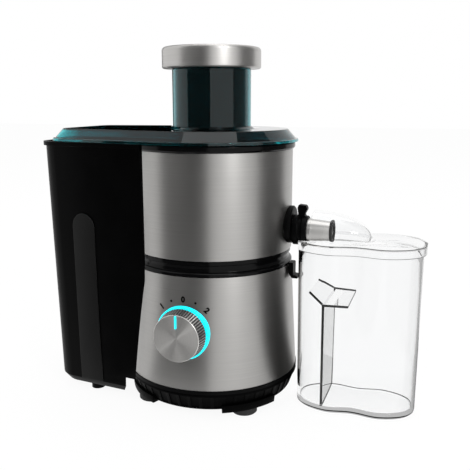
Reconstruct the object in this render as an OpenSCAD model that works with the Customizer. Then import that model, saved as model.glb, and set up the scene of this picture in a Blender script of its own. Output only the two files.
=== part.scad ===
// Centrifugal juicer: motor base, juice bowl with a spinning filter basket, lid with a
// feed chute, pulp container on the left and juice jug on the right.
// +Z is up, the dial faces -Y, the jug stands at +X and the pulp container at -X.
// Lengths are in millimetres.

/* [Motor base] */
// Radius of the steel base sleeve at its upper edge
base_top_r = 70.5; // [68:0.5:73]
// Radius of the steel base sleeve at its lower edge
base_bottom_r = 75.5; // [74:0.5:78]
// Height of the lower edge of the base sleeve
base_sleeve_z = 27; // [25:0.5:30]
// Height of the steel base sleeve
base_sleeve_h = 94.5; // [90:0.5:104]
// Thickness of the steel sleeves
sleeve_t = 0.8; // [0.5:0.1:1.5]
// Wall of the moulded housings
wall = 2.5; // [2:0.1:3.2]
// Height of the underside of the bottom cover
cover_z = 9; // [8.5:0.5:12]
// How far the bottom cover leans in from its top to its underside
cover_lean = 6; // [3:0.5:8]
// Radius of a rubber foot
foot_r = 11; // [8:0.5:12]
// Radius of the circle that the feet stand on
foot_circle_r = 61; // [56:1:62]
// Number of cooling slots in the bottom cover
vent_count = 12; // [8:1:16]
// Number of grip flutes round the bottom cover
flute_count = 48; // [24:1:60]

/* [Waist] */
// Height of the black waist between the two steel sleeves
waist_h = 13.3; // [11:0.1:16]
// Height of the jug catch under the spout
catch_h = 15; // [12:0.5:18]

/* [Juice bowl] */
// How much smaller than the top of the base sleeve the bowl sleeve's radius is
bowl_step = 0.5; // [0.5:0.1:2]
// Height of the steel bowl sleeve
bowl_sleeve_h = 85.4; // [82:0.1:92]
// Height of the black rim ring above the sleeve
rim_h = 5.8; // [5:0.1:7]
// How far the rim ring stands out from the sleeve
rim_out = 2; // [1:0.1:2.5]
// Bore of the tunnel that the drive passes through
tunnel_bore_r = 16; // [15:0.5:18]
// Height of the tunnel above the underside of the bowl
tunnel_h = 17; // [15:0.5:18]
// Fall of the bowl floor from the tunnel to the outer gutter
floor_fall = 6; // [3:0.5:7]

/* [Spout] */
// Height of the spout axis above the lower edge of the bowl sleeve
spout_rise = 17.2; // [17:0.1:20]
// Outer radius of the spout tube at the bowl
spout_r = 10.2; // [9:0.1:11]
// Outer radius of the spout tube at its tip
spout_tip_r = 8.4; // [7.5:0.1:9]
// Length of the steel tube outside the boss
spout_len = 32; // [30:0.5:34]
// Wall of the steel spout tube
spout_wall = 1; // [0.8:0.1:1.4]
// Radius of the round boss behind the spout
boss_r = 16; // [15:0.5:17]
// How far the boss stands out from the bowl sleeve
boss_out = 4; // [3:0.5:6]
// Length of the drip-stop collar
collar_len = 12.4; // [11:0.1:13]
// Wall of the drip-stop collar at the boss
collar_wall = 2.6; // [2:0.1:3]
// Height of the collar's lever above the spout axis
lever_h = 21; // [18:0.5:22]

/* [Lid and pusher] */
// Outer radius of the feed chute
chute_r = 33.6; // [32:0.1:35]
// Wall of the feed chute
chute_wall = 2.2; // [1.8:0.1:2.6]
// Height of the lid's dome above its flange
dome_h = 8.1; // [7:0.1:10]
// Thickness of the lid's flange
flange_t = 2.2; // [1.8:0.1:3]
// How far the dome's side leans in over its height
dome_lean = 7; // [5:0.5:8]
// How far the lid's left end stays inside the top of the pulp container
lid_inset = 5.7; // [4:0.1:8]
// Height of the chute above the lid's top
chute_h = 49.6; // [40:0.2:60]
// Height of the chute's lower edge above the grater disc
chute_rise = 19.3; // [16:0.1:26]
// Height of the pusher's foot above the grater disc
pusher_rise = 13.3; // [10:0.1:15]
// Radius of the steel pusher cap
cap_r = 41; // [40:0.5:44]
// Height of the steel pusher cap
cap_h = 17.4; // [15:0.2:20]
// Running gap between the pusher and the chute
pusher_gap = 0.6; // [0.4:0.1:1]

/* [Filter basket] */
// Gap between the basket's rim and the wall of the bowl
basket_gap = 5.6; // [4:0.1:8]
// Radius of the grater disc
grater_r = 33; // [31:0.5:36]
// How far the top of the sieve stays below the top of the bowl's rim
sieve_drop = 3.7; // [3:0.1:8]
// Thickness of the sieve
sieve_t = 0.8; // [0.6:0.1:1.2]
// Number of slots round the sieve
sieve_slots = 24; // [12:1:32]
// Number of arms of teeth on the grater disc
tooth_arms = 6; // [4:1:8]
// Number of teeth on each arm
teeth_per_arm = 6; // [4:1:7]
// Height of a tooth
tooth_h = 1.8; // [1.2:0.1:2.4]

/* [Motor] */
// Radius of the motor shaft
shaft_r = 4; // [3.5:0.1:4.5]
// Radius of the armature
armature_r = 19; // [17:0.5:20]
// Air gap between the armature and the stator
air_gap = 0.6; // [0.5:0.1:1]
// Width across the flats of the stator
stator_w = 58; // [54:1:60]
// Height of the laminated stack
stack_h = 30; // [26:1:32]
// Outer radius of a ball bearing
bearing_r = 11; // [10.5:0.5:11.5]
// Height of a ball bearing
bearing_h = 7; // [6:0.5:8]
// Running clearance of the shaft in its bearings
shaft_fit = 0.05; // [0.02:0.01:0.1]
// Radius of the cooling fan
fan_r = 28; // [24:1:30]
// Number of blades on the cooling fan
fan_blades = 9; // [6:1:12]

/* [Dial] */
// Height of the dial's axis
dial_z = 75.5; // [70:0.5:80]
// Radius of the dial knob
dial_r = 18.4; // [17:0.2:19]
// Depth of the dial knob
dial_depth = 13; // [10:0.5:16]
// Outer radius of the light ring
ring_r = 22.4; // [21.8:0.2:24]
// How far the light ring stands out from the sleeve
ring_out = 1.7; // [1:0.1:3]
// Radius of the dial's spindle
spindle_r = 3; // [2.5:0.1:3.5]

/* [Pulp container] */
// Reach of the container to the left of the bowl axis, at its top
pulp_reach = 140.5; // [138:0.5:144]
// How much the container draws in at its bottom
pulp_taper = 4; // [2:0.5:6]
// Half of the container's width at its left end
pulp_half_w = 54; // [50:0.5:57]
// Radius of the container's upright corners
pulp_corner_r = 20; // [16:1:24]
// Wall of the container
pulp_wall = 2; // [1.6:0.1:2.6]
// Height of the container's stand
pulp_stand_h = 7.5; // [6:0.5:9]
// Width of the lip round the container's top
lip = 2; // [1.5:0.1:2.5]
// Width of the soft grip on the container's front
grip_w = 22.5; // [18:0.5:24]
// Height of the top of the soft grip
grip_top = 166; // [150:1:175]

/* [Juice jug] */
// Gap between the base and the jug
jug_gap = 5; // [4:0.5:8]
// Half of the jug's length at its base
jug_half_len = 50.5; // [48:0.1:51]
// Half of the jug's width at its base
jug_half_w = 28.5; // [26:0.5:31]
// How much the jug's long half grows to its rim
jug_flare_x = 1; // [0.5:0.1:1.5]
// How much the jug's wide half grows to its rim
jug_flare_y = 4.5; // [3:0.5:5]
// How far the jug's rim stands below the axis of the spout
jug_drop = 13.5; // [13:0.5:18]
// Wall of the jug
jug_wall = 2; // [1.6:0.1:2.4]
// Depth of the waist in the jug's sides, as a share of its half width
jug_pinch = 0.16; // [0.08:0.01:0.22]
// Height of the jug lid's skirt
jug_lid_h = 7.7; // [6:0.1:9]
// Radius of the hood's mouth over the spout
hood_r = 20.5; // [20:0.1:21.5]
// Length of the hood over the spout
hood_len = 49; // [44:0.5:52]
// Height of the froth separator
froth_h = 96; // [80:1:102]

/* [Hidden] */
$fn = 64;

eps = 0.02;
seat = 0.1;        // gap between pieces of one body that sit on each other
clear = 0.3;       // gap between pieces of different bodies that rest on each other
bowl_r = base_top_r - bowl_step;
bowl_wall_r = bowl_r - sleeve_t - seat;
basket_rim_r = bowl_wall_r - wall - basket_gap;
boss_reach = bowl_r + boss_out;
spout_reach = boss_reach + spout_len;
ring_front = base_r(dial_z) + ring_out;
lid_reach = pulp_reach - lid_inset;
left_reach = pulp_reach + lip;
jug_left = max(base_bottom_r, boss_reach + 1.5) + jug_gap;
jug_mid = jug_left + jug_half_len;
jug_top_x = jug_half_len + jug_flare_x;
jug_top_y = jug_half_w + jug_flare_y;
jug_lid_grow = 2.3;
right_reach = jug_mid + jug_top_x + jug_lid_grow;
knob_front = ring_front + clear + dial_depth;
inlet_back = base_bottom_r + 4;
axis_x = (left_reach - right_reach) / 2;
pointer_t = 0.5;
axis_y = (knob_front + seat + pointer_t - inlet_back) / 2;

// heights, from the table up
waist_z = base_sleeve_z + base_sleeve_h;
deck_z = waist_z - wall;
bowl_z = waist_z + waist_h;
sleeve_top = bowl_z + bowl_sleeve_h;
rim_z = sleeve_top + rim_h;
lid_z = rim_z + clear;
dome_z = lid_z + flange_t;
lid_top = dome_z + dome_h;
chute_top = lid_top + chute_h;
cap_z = chute_top + clear;
spout_z = bowl_z + spout_rise;
jug_h = spout_z - jug_drop;
motor_top = deck_z - 8.5;
bracket_t = 3;
cup_h = bearing_h + 2;
bolt_circle_r = 26;
stack_top = motor_top - 14;
stack_z = stack_top - stack_h;
coil_h = 8;
lower_top = stack_z - coil_h - 12;
lower_cup_z = lower_top - cup_h;
fan_z = lower_cup_z - 9;
drive_z = bowl_z - 1.5;
basket_z = bowl_z + tunnel_h + 1.5;
grater_z = basket_z + 12;
basket_top = rim_z - sieve_drop;
sieve_h = basket_top - grater_z;
chute_low = grater_z + chute_rise;
cover_top = base_sleeve_z - 3 - seat;
inlet_z = (cover_z + cover_top) / 2;
pod_r = foot_circle_r + foot_r + 1.2;
flute_w = 3;

function base_r(z) =
    base_bottom_r + (base_top_r - base_bottom_r) * (z - base_sleeve_z) / base_sleeve_h;

module on_axis() translate([axis_x, axis_y, 0]) children();
module on_jug() translate([axis_x + jug_mid, axis_y, 0]) children();
module along_x(x, z) translate([x, 0, z]) rotate([0, 90, 0]) children();
module along_front(y, z) translate([0, -y, z]) rotate([90, 0, 0]) children();

// a tube of revolution with straight walls
module ring(r_out, r_in, z0, z1) {
    translate([0, 0, z0]) difference() {
        cylinder(r = r_out, h = z1 - z0);
        translate([0, 0, -1]) cylinder(r = r_in, h = z1 - z0 + 2);
    }
}

// plan of the lid and the pulp container: a circle round the bowl axis, drawn out to
// two smaller corners on the left
module drawn_out(big_r, reach, half_w, corner_r) {
    cx = -(reach - corner_r);
    cy = half_w - corner_r;
    span = norm([cx, cy]);
    turn = atan2(cy, cx) - acos((big_r - corner_r) / span);
    n = [cos(turn), sin(turn)];
    circle(r = big_r);
    for (s = [-1, 1]) translate([cx, s * cy]) circle(r = corner_r, $fn = 32);
    polygon([big_r * n, [cx, cy] + corner_r * n, [-reach, cy], [-reach, -cy],
        [cx, -cy] + corner_r * [n[0], -n[1]], big_r * [n[0], -n[1]]]);
}

// ---------------------------------------------------------------- motor base

module base_shell() {
    gap = sleeve_t + seat;
    top_r = base_top_r - gap;
    low_r = base_bottom_r - gap;
    color("#17181a") on_axis() difference() {
        union() {
            rotate_extrude() polygon([
                [low_r - wall, base_sleeve_z - 3], [base_bottom_r + 0.6, base_sleeve_z - 3],
                [base_bottom_r + 0.6, base_sleeve_z - seat], [low_r, base_sleeve_z - seat],
                [top_r, waist_z], [9, waist_z], [9, deck_z], [top_r - wall, deck_z]]);
            ring(12, 9, deck_z, waist_z + 8.5);
            for (a = [45:90:315]) rotate(a) translate([bolt_circle_r, 0, motor_top + 3])
                cylinder(r = 4.5, h = deck_z - motor_top - 3 + eps, $fn = 32);
        }
        for (a = [45:90:315]) rotate(a) translate([bolt_circle_r, 0, motor_top])
            cylinder(r = 1.9, h = deck_z - motor_top, $fn = 24);
        along_front(ring_front - 13, dial_z) cylinder(r = ring_r + 0.4, h = 30);
    }
}

module base_sleeve() {
    color("silver") on_axis() difference() {
        rotate_extrude($fn = 96) polygon([
            [base_bottom_r - sleeve_t, base_sleeve_z], [base_bottom_r, base_sleeve_z],
            [base_top_r, waist_z], [base_top_r - sleeve_t, waist_z]]);
        along_front(ring_front - 20, dial_z) cylinder(r = ring_r + seat, h = 40);
    }
}

// glossy stepped ring that carries the bowl, with the catch that keeps the jug in line
module waist_ring() {
    foot = waist_z + seat;
    top = bowl_z - clear;
    step = (top - foot) / 4;
    catch_r = base_top_r + 0.4;
    color("#08090a") on_axis() {
        rotate_extrude($fn = 96) polygon([
            [bowl_r - 12, foot], [base_top_r, foot], [base_top_r, foot + step - 1],
            [base_top_r - 1, foot + step], [bowl_r - 2.2, foot + step],
            [bowl_r - 2.2, foot + 3 * step], [bowl_r - 0.8, foot + 3 * step],
            [bowl_r - 0.8, top], [bowl_r - 12, top]]);
        difference() {
            union() {
                translate([bowl_r - 4, -5, foot + step - catch_h + 2])
                    cube([base_top_r + 4.5 - bowl_r + 4, 10, catch_h]);
                translate([base_top_r, -5, foot + step - catch_h])
                    cube([jug_left - jug_flare_x - clear - base_top_r, 10, 3]);
            }
            translate([0, 0, base_sleeve_z])
                cylinder(r1 = base_bottom_r + seat, r2 = base_top_r + seat, h = base_sleeve_h);
            translate([0, 0, waist_z - 1]) cylinder(r = bowl_r - 6, h = waist_h);
            cylinder(r = bowl_r - 6, h = waist_z + seat);
        }
    }
}

// fluted skirt that leans in to its foot, with a pod over each rubber foot
module cover_skirt(low_r, top_r, top) {
    low = cover_z;
    translate([0, 0, low]) cylinder(r1 = low_r, r2 = top_r - 1.2, h = top - 2 - low + eps);
    translate([0, 0, top - 2]) cylinder(r = top_r, h = 2);
    translate([0, 0, low]) cylinder(r1 = low_r + 0.4, r2 = low_r + 1.3, h = 1.5);
    for (i = [0 : flute_count - 1]) rotate(360 * (i + 0.5) / flute_count)
        rotate([90, 0, 0]) translate([0, 0, -flute_w / 2]) linear_extrude(flute_w) polygon([
            [low_r - 2, low + 1], [low_r + 1, low + 1], [top_r - 0.3, top - 1], [top_r - 4, top - 1]]);
    for (a = [45:90:315]) rotate(a) intersection() {
        translate([0, 0, low - 5]) cylinder(r1 = pod_r, r2 = pod_r + 0.8, h = 9);
        translate([0, 0, low - 5]) linear_extrude(9)
            polygon([[foot_circle_r - foot_r - 4, -15], [pod_r + 5, -29], [pod_r + 5, 29],
                [foot_circle_r - foot_r - 4, 15]]);
    }
}

module bottom_cover() {
    top = cover_top;
    skirt_r = base_bottom_r + 0.6;
    low_r = skirt_r - cover_lean;
    inner_r = skirt_r - 1 - wall;
    color("#0c0c0d") on_axis() difference() {
        union() {
            cover_skirt(low_r, skirt_r, top);
            intersection() {
                translate([0, 0, cover_z]) cylinder(r = skirt_r - 0.6, h = top - cover_z - 1);
                translate([-11, inner_r - 16, 0]) cube([22, 30, top]);
            }
        }
        translate([0, 0, cover_z + 3]) cylinder(r1 = low_r - wall, r2 = inner_r,
            h = top - cover_z - 5);
        translate([0, 0, top - 2.5]) cylinder(r = inner_r + 0.2, h = 4);
        translate([-8.2, inner_r - 14, cover_z + 3]) cube([16.4, 13.8, top]);
        for (a = [0:90:270]) rotate(a) translate([foot_circle_r, 0, cover_z - 1]) {
            cylinder(r = 2, h = 6, $fn = 24);
            translate([0, 0, -eps]) cylinder(r = 4, h = 2.5 + eps, $fn = 24);
        }
        for (a = [45:90:315]) rotate(a) translate([foot_circle_r, 0, cover_z - 6])
            cylinder(r = foot_r + seat, h = 4);
        for (i = [0 : vent_count - 1]) rotate(360 * (i + 0.5) / vent_count)
            translate([14, -1.6, cover_z - 1]) cube([26, 3.2, 5]);
        rotate(90) along_x(base_bottom_r - 12, inlet_z) cylinder(r = 6 + seat, h = 20);
    }
}

module rubber_feet() {
    color("#1b1b1b") on_axis() for (a = [45:90:315]) rotate(a)
        translate([foot_circle_r, 0, 0]) {
            cylinder(r1 = foot_r - 1, r2 = foot_r, h = 1, $fn = 48);
            translate([0, 0, 1 - eps]) cylinder(r = foot_r, h = cover_z - 3 - seat + eps, $fn = 48);
        }
}

module bottom_screws() {
    color("#9a9c9e") on_axis() for (a = [0:90:270]) rotate(a)
        translate([foot_circle_r, 0, cover_z]) {
            difference() {
                cylinder(r = 3.6, h = 1.4, $fn = 24);
                translate([0, 0, -1]) for (t = [0, 90]) rotate(t)
                    translate([-2, -0.5, 0]) cube([4, 1, 1.8]);
            }
            cylinder(r = 1.8, h = 10, $fn = 24);
        }
}

// translucent ring behind the dial, with its small board of lamps
module light_ring() {
    color("#12c9e6") on_axis() along_front(ring_front - 7, dial_z) difference() {
        union() {
            cylinder(r = ring_r, h = 6.4);
            translate([0, 0, 6.4 - eps]) cylinder(r1 = ring_r, r2 = ring_r - 0.6, h = 0.6 + eps);
        }
        translate([0, 0, -1]) cylinder(r = dial_r + 0.6, h = 9);
    }
}

module light_board() {
    color("#1f5a38") on_axis() along_front(ring_front - 7 - seat - 1.6, dial_z) {
        difference() {
            cylinder(r = ring_r, h = 1.6);
            translate([0, 0, -1]) cylinder(r = 7, h = 4);
        }
    }
}

module rotary_switch() {
    back = ring_front - 7 - 2 * seat - 1.6;
    color("#2a2b2e") on_axis() {
        difference() {
            union() {
                translate([-13, -back, dial_z - 11]) cube([26, 14, 22]);
                along_front(back - 1, dial_z) cylinder(r = 6, h = 5);
                for (x = [-8, 0, 8]) translate([x - 1, -back + 13, dial_z - 8]) cube([2, 5, 0.8]);
            }
            along_front(back - 20, dial_z) cylinder(r = spindle_r + shaft_fit, h = 30);
        }
    }
}

module cord_inlet() {
    floor_x = inlet_z - cover_z - 3 - seat;
    color("#101011") on_axis() rotate(90) along_x(base_bottom_r - 4.5, inlet_z)
        difference() {
            union() {
                cylinder(r = 6, h = 5);
                translate([0, 0, 5 - eps]) cylinder(r1 = 7, r2 = 6, h = 3.5 + eps);
                intersection() {
                    translate([0, 0, -2]) cylinder(r = 7.5, h = 2 + eps);
                    translate([-20, -10, -3]) cube([20 + floor_x, 20, 6]);
                }
            }
            translate([0, 0, -3]) cylinder(r = 3.2, h = 20);
        }
}

// --------------------------------------------------------------------- motor

module motor_stator() {
    color("#6d7175") on_axis() translate([0, 0, stack_z]) difference() {
        intersection() {
            translate([-stator_w / 2, -stator_w / 2, 0]) cube([stator_w, stator_w, stack_h]);
            cylinder(r = stator_w * 0.58, h = stack_h);
        }
        translate([0, 0, -1]) cylinder(r = armature_r + air_gap, h = stack_h + 2);
        for (a = [45:90:315]) rotate(a) translate([bolt_circle_r, 0, -1])
            cylinder(r = 2 + seat, h = stack_h + 2, $fn = 24);
    }
}

// one saddle of wire at each end of each pole
module motor_coils() {
    color("#b0652c") on_axis() for (z = [stack_top + seat, stack_z - coil_h - seat], a = [0, 180])
        rotate(a) intersection() {
            ring(28, armature_r + 1.5, z, z + coil_h);
            translate([-14, 6, z - 1]) cube([28, 40, coil_h + 2]);
        }
}

// spider of four arms with a cup for the bearing
module bracket(z, cup_z, disc_r) {
    difference() {
        union() {
            translate([0, 0, z]) cylinder(r = disc_r, h = bracket_t);
            for (a = [45, 135]) rotate(a) translate([-30, -5, z]) cube([60, 10, bracket_t]);
            translate([0, 0, cup_z]) cylinder(r = bearing_r + 2.5, h = cup_h);
        }
        translate([0, 0, cup_z - 1]) cylinder(r = 7, h = cup_h + 2);
        translate([0, 0, cup_z + 1]) cylinder(r = bearing_r + 0.02, h = cup_h);
        for (a = [45:90:315]) rotate(a) translate([bolt_circle_r, 0, z - 1])
            cylinder(r = 2 + seat, h = bracket_t + 2, $fn = 24);
    }
}

module upper_bracket() {
    color("#8b8f93") on_axis() bracket(motor_top - bracket_t, motor_top - cup_h, bearing_r + 5);
}

module lower_bracket() {
    color("#8b8f93") on_axis() bracket(lower_top - bracket_t, lower_top - cup_h, bolt_circle_r);
}

module bearing(z) {
    difference() {
        translate([0, 0, z]) cylinder(r = bearing_r, h = bearing_h);
        translate([0, 0, z - 1]) cylinder(r = shaft_r + shaft_fit, h = bearing_h + 2);
        for (e = [z - 0.5, z + bearing_h - 0.5])
            ring(bearing_r - 2, shaft_r + 2, e, e + 1);
    }
}

module upper_bearing() {
    color("#c9ccd0") on_axis() bearing(motor_top - cup_h + 1 + seat);
}

module lower_bearing() {
    color("#c9ccd0") on_axis() bearing(lower_top - cup_h + 1 + seat);
}

comm_r = 11;
comm_z = lower_top + 3;
comm_h = 11;

module brush_holders() {
    color("#7a4a1c") on_axis() for (a = [0, 180]) rotate(a) {
        difference() {
            translate([comm_r + 0.6, -5, comm_z + 1.5]) cube([17, 10, 7]);
            translate([comm_r - 1, -2.5, comm_z + 3]) cube([22, 5, 4]);
        }
        translate([comm_r + 0.3, -2.5 + seat, comm_z + 3 + seat])
            cube([9, 5 - 2 * seat, 4 - 2 * seat]);
        for (y = [-4.5, 2.5]) translate([comm_r + 9, y, lower_top + seat])
            cube([4, 2, comm_z + 1.5 - lower_top - seat + eps]);
    }
}

module motor_grommets() {
    color("#202124") on_axis() for (a = [45:90:315]) rotate(a)
        translate([bolt_circle_r, 0, 0]) ring(4.5, 2 + seat, motor_top + seat, motor_top + 3 - seat);
}

// four long screws from the lower bracket, through the stack, into the deck's posts
module motor_screws() {
    color("#a5a7aa") on_axis() for (a = [45:90:315]) rotate(a) translate([bolt_circle_r, 0, 0]) {
        translate([0, 0, lower_top - bracket_t - 2.5]) cylinder(r = 3.4, h = 2.5 - seat, $fn = 24);
        translate([0, 0, lower_top - bracket_t - 1])
            cylinder(r = 1.8, h = deck_z - lower_top + bracket_t, $fn = 24);
        for (z = [[lower_top + seat, stack_z - seat], [stack_top + seat, motor_top - bracket_t - seat]])
            ring(3.2, 2 + seat, z[0], z[1]);
    }
}

module shaft_seal() {
    top = waist_z + 8.5;
    color("#26201c") on_axis() difference() {
        union() {
            ring(9 - seat, shaft_r + 1.5, top - 6, top);
            ring(11.6, 8, top + seat, top + 1.6);
            ring(8.9, shaft_r + shaft_fit, top - 1, top + 1.6);
        }
    }
}

module safety_switch() {
    color("#3a3d42") on_axis() rotate(-90) translate([40, -10, deck_z - 16 - seat]) {
        cube([6.5, 20, 10]);
        translate([2.2, 5, 10 - eps]) cube([2, 3, 2.5]);
        for (y = [2, 16]) translate([2.2, y, 10 - eps]) cube([2, 2, 6 + eps]);
        for (y = [3, 10, 16]) translate([3, y, -4]) cube([0.8, 3, 4 + eps]);
    }
}

// ---------------------------------------------------------------- juice bowl

gutter_z = bowl_z + 1;
floor_t = 2.2;
bowl_bore_r = bowl_wall_r - wall;

// upright wall of the bowl, with a short stub round the spout tube
module juice_bowl() {
    color("#141517") on_axis() difference() {
        union() {
            ring(bowl_wall_r, bowl_bore_r, bowl_z, sleeve_top);
            along_x(bowl_bore_r - 4, spout_z)
                cylinder(r = spout_r + 2.2, h = bowl_wall_r - bowl_bore_r + 3.4);
        }
        along_x(bowl_bore_r - 12, spout_z) cylinder(r = spout_r + seat, h = 30);
        ring(bowl_r + 12, bowl_wall_r + 0.001, bowl_z - 1, sleeve_top + 1);
    }
}

// sloping floor with the tunnel for the drive and the gutter that leads to the spout
module bowl_floor() {
    crest = gutter_z + floor_fall;
    edge = bowl_bore_r - seat;
    color("#141517") on_axis() rotate_extrude($fn = 96) polygon([
        [tunnel_bore_r, bowl_z], [tunnel_bore_r + 2.2, bowl_z],
        [tunnel_bore_r + 2.2, crest - floor_t], [edge - 4, gutter_z - 0.4],
        [edge - 4, bowl_z], [edge, bowl_z], [edge, gutter_z + 1.6],
        [tunnel_bore_r + 2.2, crest], [tunnel_bore_r + 2.2, bowl_z + tunnel_h],
        [tunnel_bore_r, bowl_z + tunnel_h]]);
}

module bowl_sleeve() {
    color("silver") on_axis() difference() {
        ring(bowl_r, bowl_r - sleeve_t, bowl_z, sleeve_top);
        along_x(bowl_r - 12, spout_z) cylinder(r = spout_r + 1, h = 30);
    }
}

module bowl_rim() {
    color("#0b0b0c") on_axis() rotate_extrude($fn = 96) polygon([
        [bowl_bore_r, sleeve_top + seat], [bowl_r + rim_out - 1, sleeve_top + seat],
        [bowl_r + rim_out, sleeve_top + seat + 1], [bowl_r + rim_out, rim_z - 1],
        [bowl_r + rim_out - 1, rim_z], [bowl_bore_r, rim_z]]);
}

// ---------------------------------------------------------------------- spout

boss_z = spout_z + boss_r - collar_wall - spout_r + 1.2;

module spout_boss() {
    color("#0d0d0e") on_axis() difference() {
        union() {
            along_x(bowl_r - 6, boss_z) cylinder(r = boss_r, h = boss_reach - 1 - bowl_r + 6);
            along_x(boss_reach - 1 - eps, boss_z) cylinder(r1 = boss_r, r2 = boss_r - 1, h = 1 + eps);
        }
        translate([0, 0, bowl_z - 2]) cylinder(r = bowl_r + seat, h = bowl_sleeve_h, $fn = 96);
        along_x(bowl_r - 12, spout_z) cylinder(r = spout_r + seat, h = 30);
    }
}

collar_x = boss_reach + clear;
collar_end = collar_x + collar_len;

module spout_tube() {
    x0 = bowl_bore_r - 1;
    len = spout_reach - x0;
    straight = collar_end + 0.6 - x0;
    color("silver") on_axis() along_x(x0, spout_z) rotate_extrude() polygon([
        [spout_r - spout_wall, 0], [spout_r, 0], [spout_r, straight],
        [spout_tip_r, len], [spout_tip_r - spout_wall, len],
        [spout_r - spout_wall, straight]]);
}

module spout_seal() {
    color("#0b0b0b") on_axis() along_x(spout_reach - 1.6, spout_z) difference() {
        union() {
            cylinder(r = spout_tip_r + 1.1, h = 3.4);
            translate([0, 0, 3.4 - eps])
                cylinder(r1 = spout_tip_r + 1.1, r2 = spout_tip_r + 0.4, h = 0.8 + eps);
        }
        translate([0, 0, -1]) cylinder(r = spout_tip_r - spout_wall - 0.2, h = 8);
        translate([0, 0, -1]) cylinder(r = spout_tip_r + 0.2, h = 2.6 + seat);
    }
}

// the collar turns on the spout tube and shuts the flow
module drip_collar() {
    bore = spout_r + 0.08;
    color("#111112") on_axis() along_x(collar_x, spout_z) difference() {
        union() {
            cylinder(r = spout_r + collar_wall, h = collar_len * 0.55);
            translate([0, 0, collar_len * 0.55 - eps])
                cylinder(r1 = spout_r + collar_wall, r2 = spout_r + 1, h = collar_len * 0.45 + eps);
            translate([-lever_h + 2, -3, 2]) cube([lever_h - spout_r, 6, collar_len - 2.4]);
            translate([-lever_h + 2, 0, 2])
                cylinder(r = 3, h = collar_len - 2.4, $fn = 32);
        }
        translate([0, 0, -1]) cylinder(r = bore, h = collar_len + 2);
    }
}

// ---------------------------------------------------------------------- rotor

module motor_shaft() {
    z0 = fan_z - 1;
    color("#d5d7da") on_axis() translate([0, 0, z0]) {
        cylinder(r = shaft_r, h = drive_z + 10 - z0);
    }
}

module armature() {
    color("#85888c") on_axis() difference() {
        union() {
            translate([0, 0, stack_z]) cylinder(r = armature_r, h = stack_h);
            translate([0, 0, stack_z - 6]) cylinder(r1 = armature_r - 5, r2 = armature_r - 2, h = 6 + eps);
            translate([0, 0, stack_top - eps]) cylinder(r1 = armature_r - 2, r2 = armature_r - 7, h = 4);
        }
        translate([0, 0, stack_z - 10]) cylinder(r = shaft_r + 0.01, h = stack_h + 20);
        for (i = [0:11]) rotate(i * 30) translate([armature_r - 1.5, -0.9, stack_z - 1])
            cube([4, 1.8, stack_h + 2]);
    }
}

module commutator() {
    color("#b87333") on_axis() difference() {
        translate([0, 0, comm_z]) cylinder(r = comm_r, h = comm_h);
        translate([0, 0, comm_z - 1]) cylinder(r = shaft_r + 0.01, h = comm_h + 2);
        for (i = [0:11]) rotate(i * 30) translate([comm_r - 0.6, -0.25, comm_z - 1])
            cube([2, 0.5, comm_h + 2]);
    }
}

module cooling_fan() {
    color("#d9d5c8") on_axis() translate([0, 0, fan_z]) difference() {
        union() {
            cylinder(r = fan_r, h = 1.5);
            cylinder(r = shaft_r + 3, h = 8);
            for (i = [0 : fan_blades - 1]) rotate(360 * i / fan_blades)
                translate([shaft_r + 2, 0, 1]) rotate(12) cube([fan_r - shaft_r - 4, 1.2, 6.5]);
        }
        translate([0, 0, -1]) cylinder(r = shaft_r + 0.01, h = 12);
    }
}

// dog clutch on the end of the shaft, inside the bowl's tunnel
module drive_coupling() {
    top = basket_z - seat;
    color("#2f3236") on_axis() difference() {
        union() {
            translate([0, 0, drive_z]) cylinder(r = 12, h = top - drive_z - 5);
            translate([0, 0, drive_z]) cylinder(r = 8, h = basket_z + 2.8 - drive_z);
            for (a = [0:60:300]) rotate(a) translate([7, -2, top - 6]) cube([5, 4, 6]);
        }
        translate([0, 0, drive_z - 1]) cylinder(r = shaft_r + 0.01, h = 11 + seat);
    }
}

module basket_hub() {
    color("#1b1c1f") on_axis() difference() {
        union() {
            translate([0, 0, basket_z]) cylinder(r = 14, h = grater_z - basket_z);
            translate([0, 0, grater_z - 3]) cylinder(r1 = grater_r - 5, r2 = grater_r, h = 3);
            for (a = [0:30:330]) rotate(a) translate([12, -1, grater_z - 6])
                cube([grater_r - 18, 2, 5]);
        }
        translate([0, 0, basket_z - eps]) cylinder(r = 8 + seat, h = 3);
    }
}

function sieve_r(z) =
    grater_r + 1 + (basket_rim_r - 3 - grater_r - 1) * (z - grater_z) / sieve_h;

// conical sieve, cut with rows of slots
module sieve() {
    lean = atan2(sieve_r(basket_top) - sieve_r(grater_z), sieve_h);
    slot_l = sieve_h * 0.32 / cos(lean);
    color("#b9bcc0") on_axis() difference() {
        rotate_extrude($fn = 96) polygon([
            [grater_r - 3, grater_z + seat], [sieve_r(grater_z), grater_z + seat],
            [sieve_r(basket_top), basket_top], [sieve_r(basket_top) - sieve_t, basket_top],
            [sieve_r(grater_z) - sieve_t, grater_z + seat + sieve_t],
            [grater_r - 3, grater_z + seat + sieve_t]]);
        for (row = [0, 1], i = [0 : sieve_slots - 1])
            rotate(360 * (i + row / 2) / sieve_slots)
                translate([sieve_r(grater_z), 0, grater_z])
                    rotate([0, lean, 0])
                        translate([-3, -0.9, sieve_h * (0.14 + 0.46 * row) / cos(lean)])
                            cube([6, 1.8, slot_l]);
    }
}

module basket_rim() {
    r = sieve_r(basket_top);
    color("#1b1c1f") on_axis() rotate_extrude($fn = 96) polygon([
        [r + seat, basket_top - 8], [r + 1.4, basket_top - 8], [basket_rim_r, basket_top - 2],
        [basket_rim_r, basket_top + 1], [r - sieve_t, basket_top + 1],
        [r - sieve_t, basket_top + seat], [r + seat, basket_top + seat]]);
}

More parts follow.
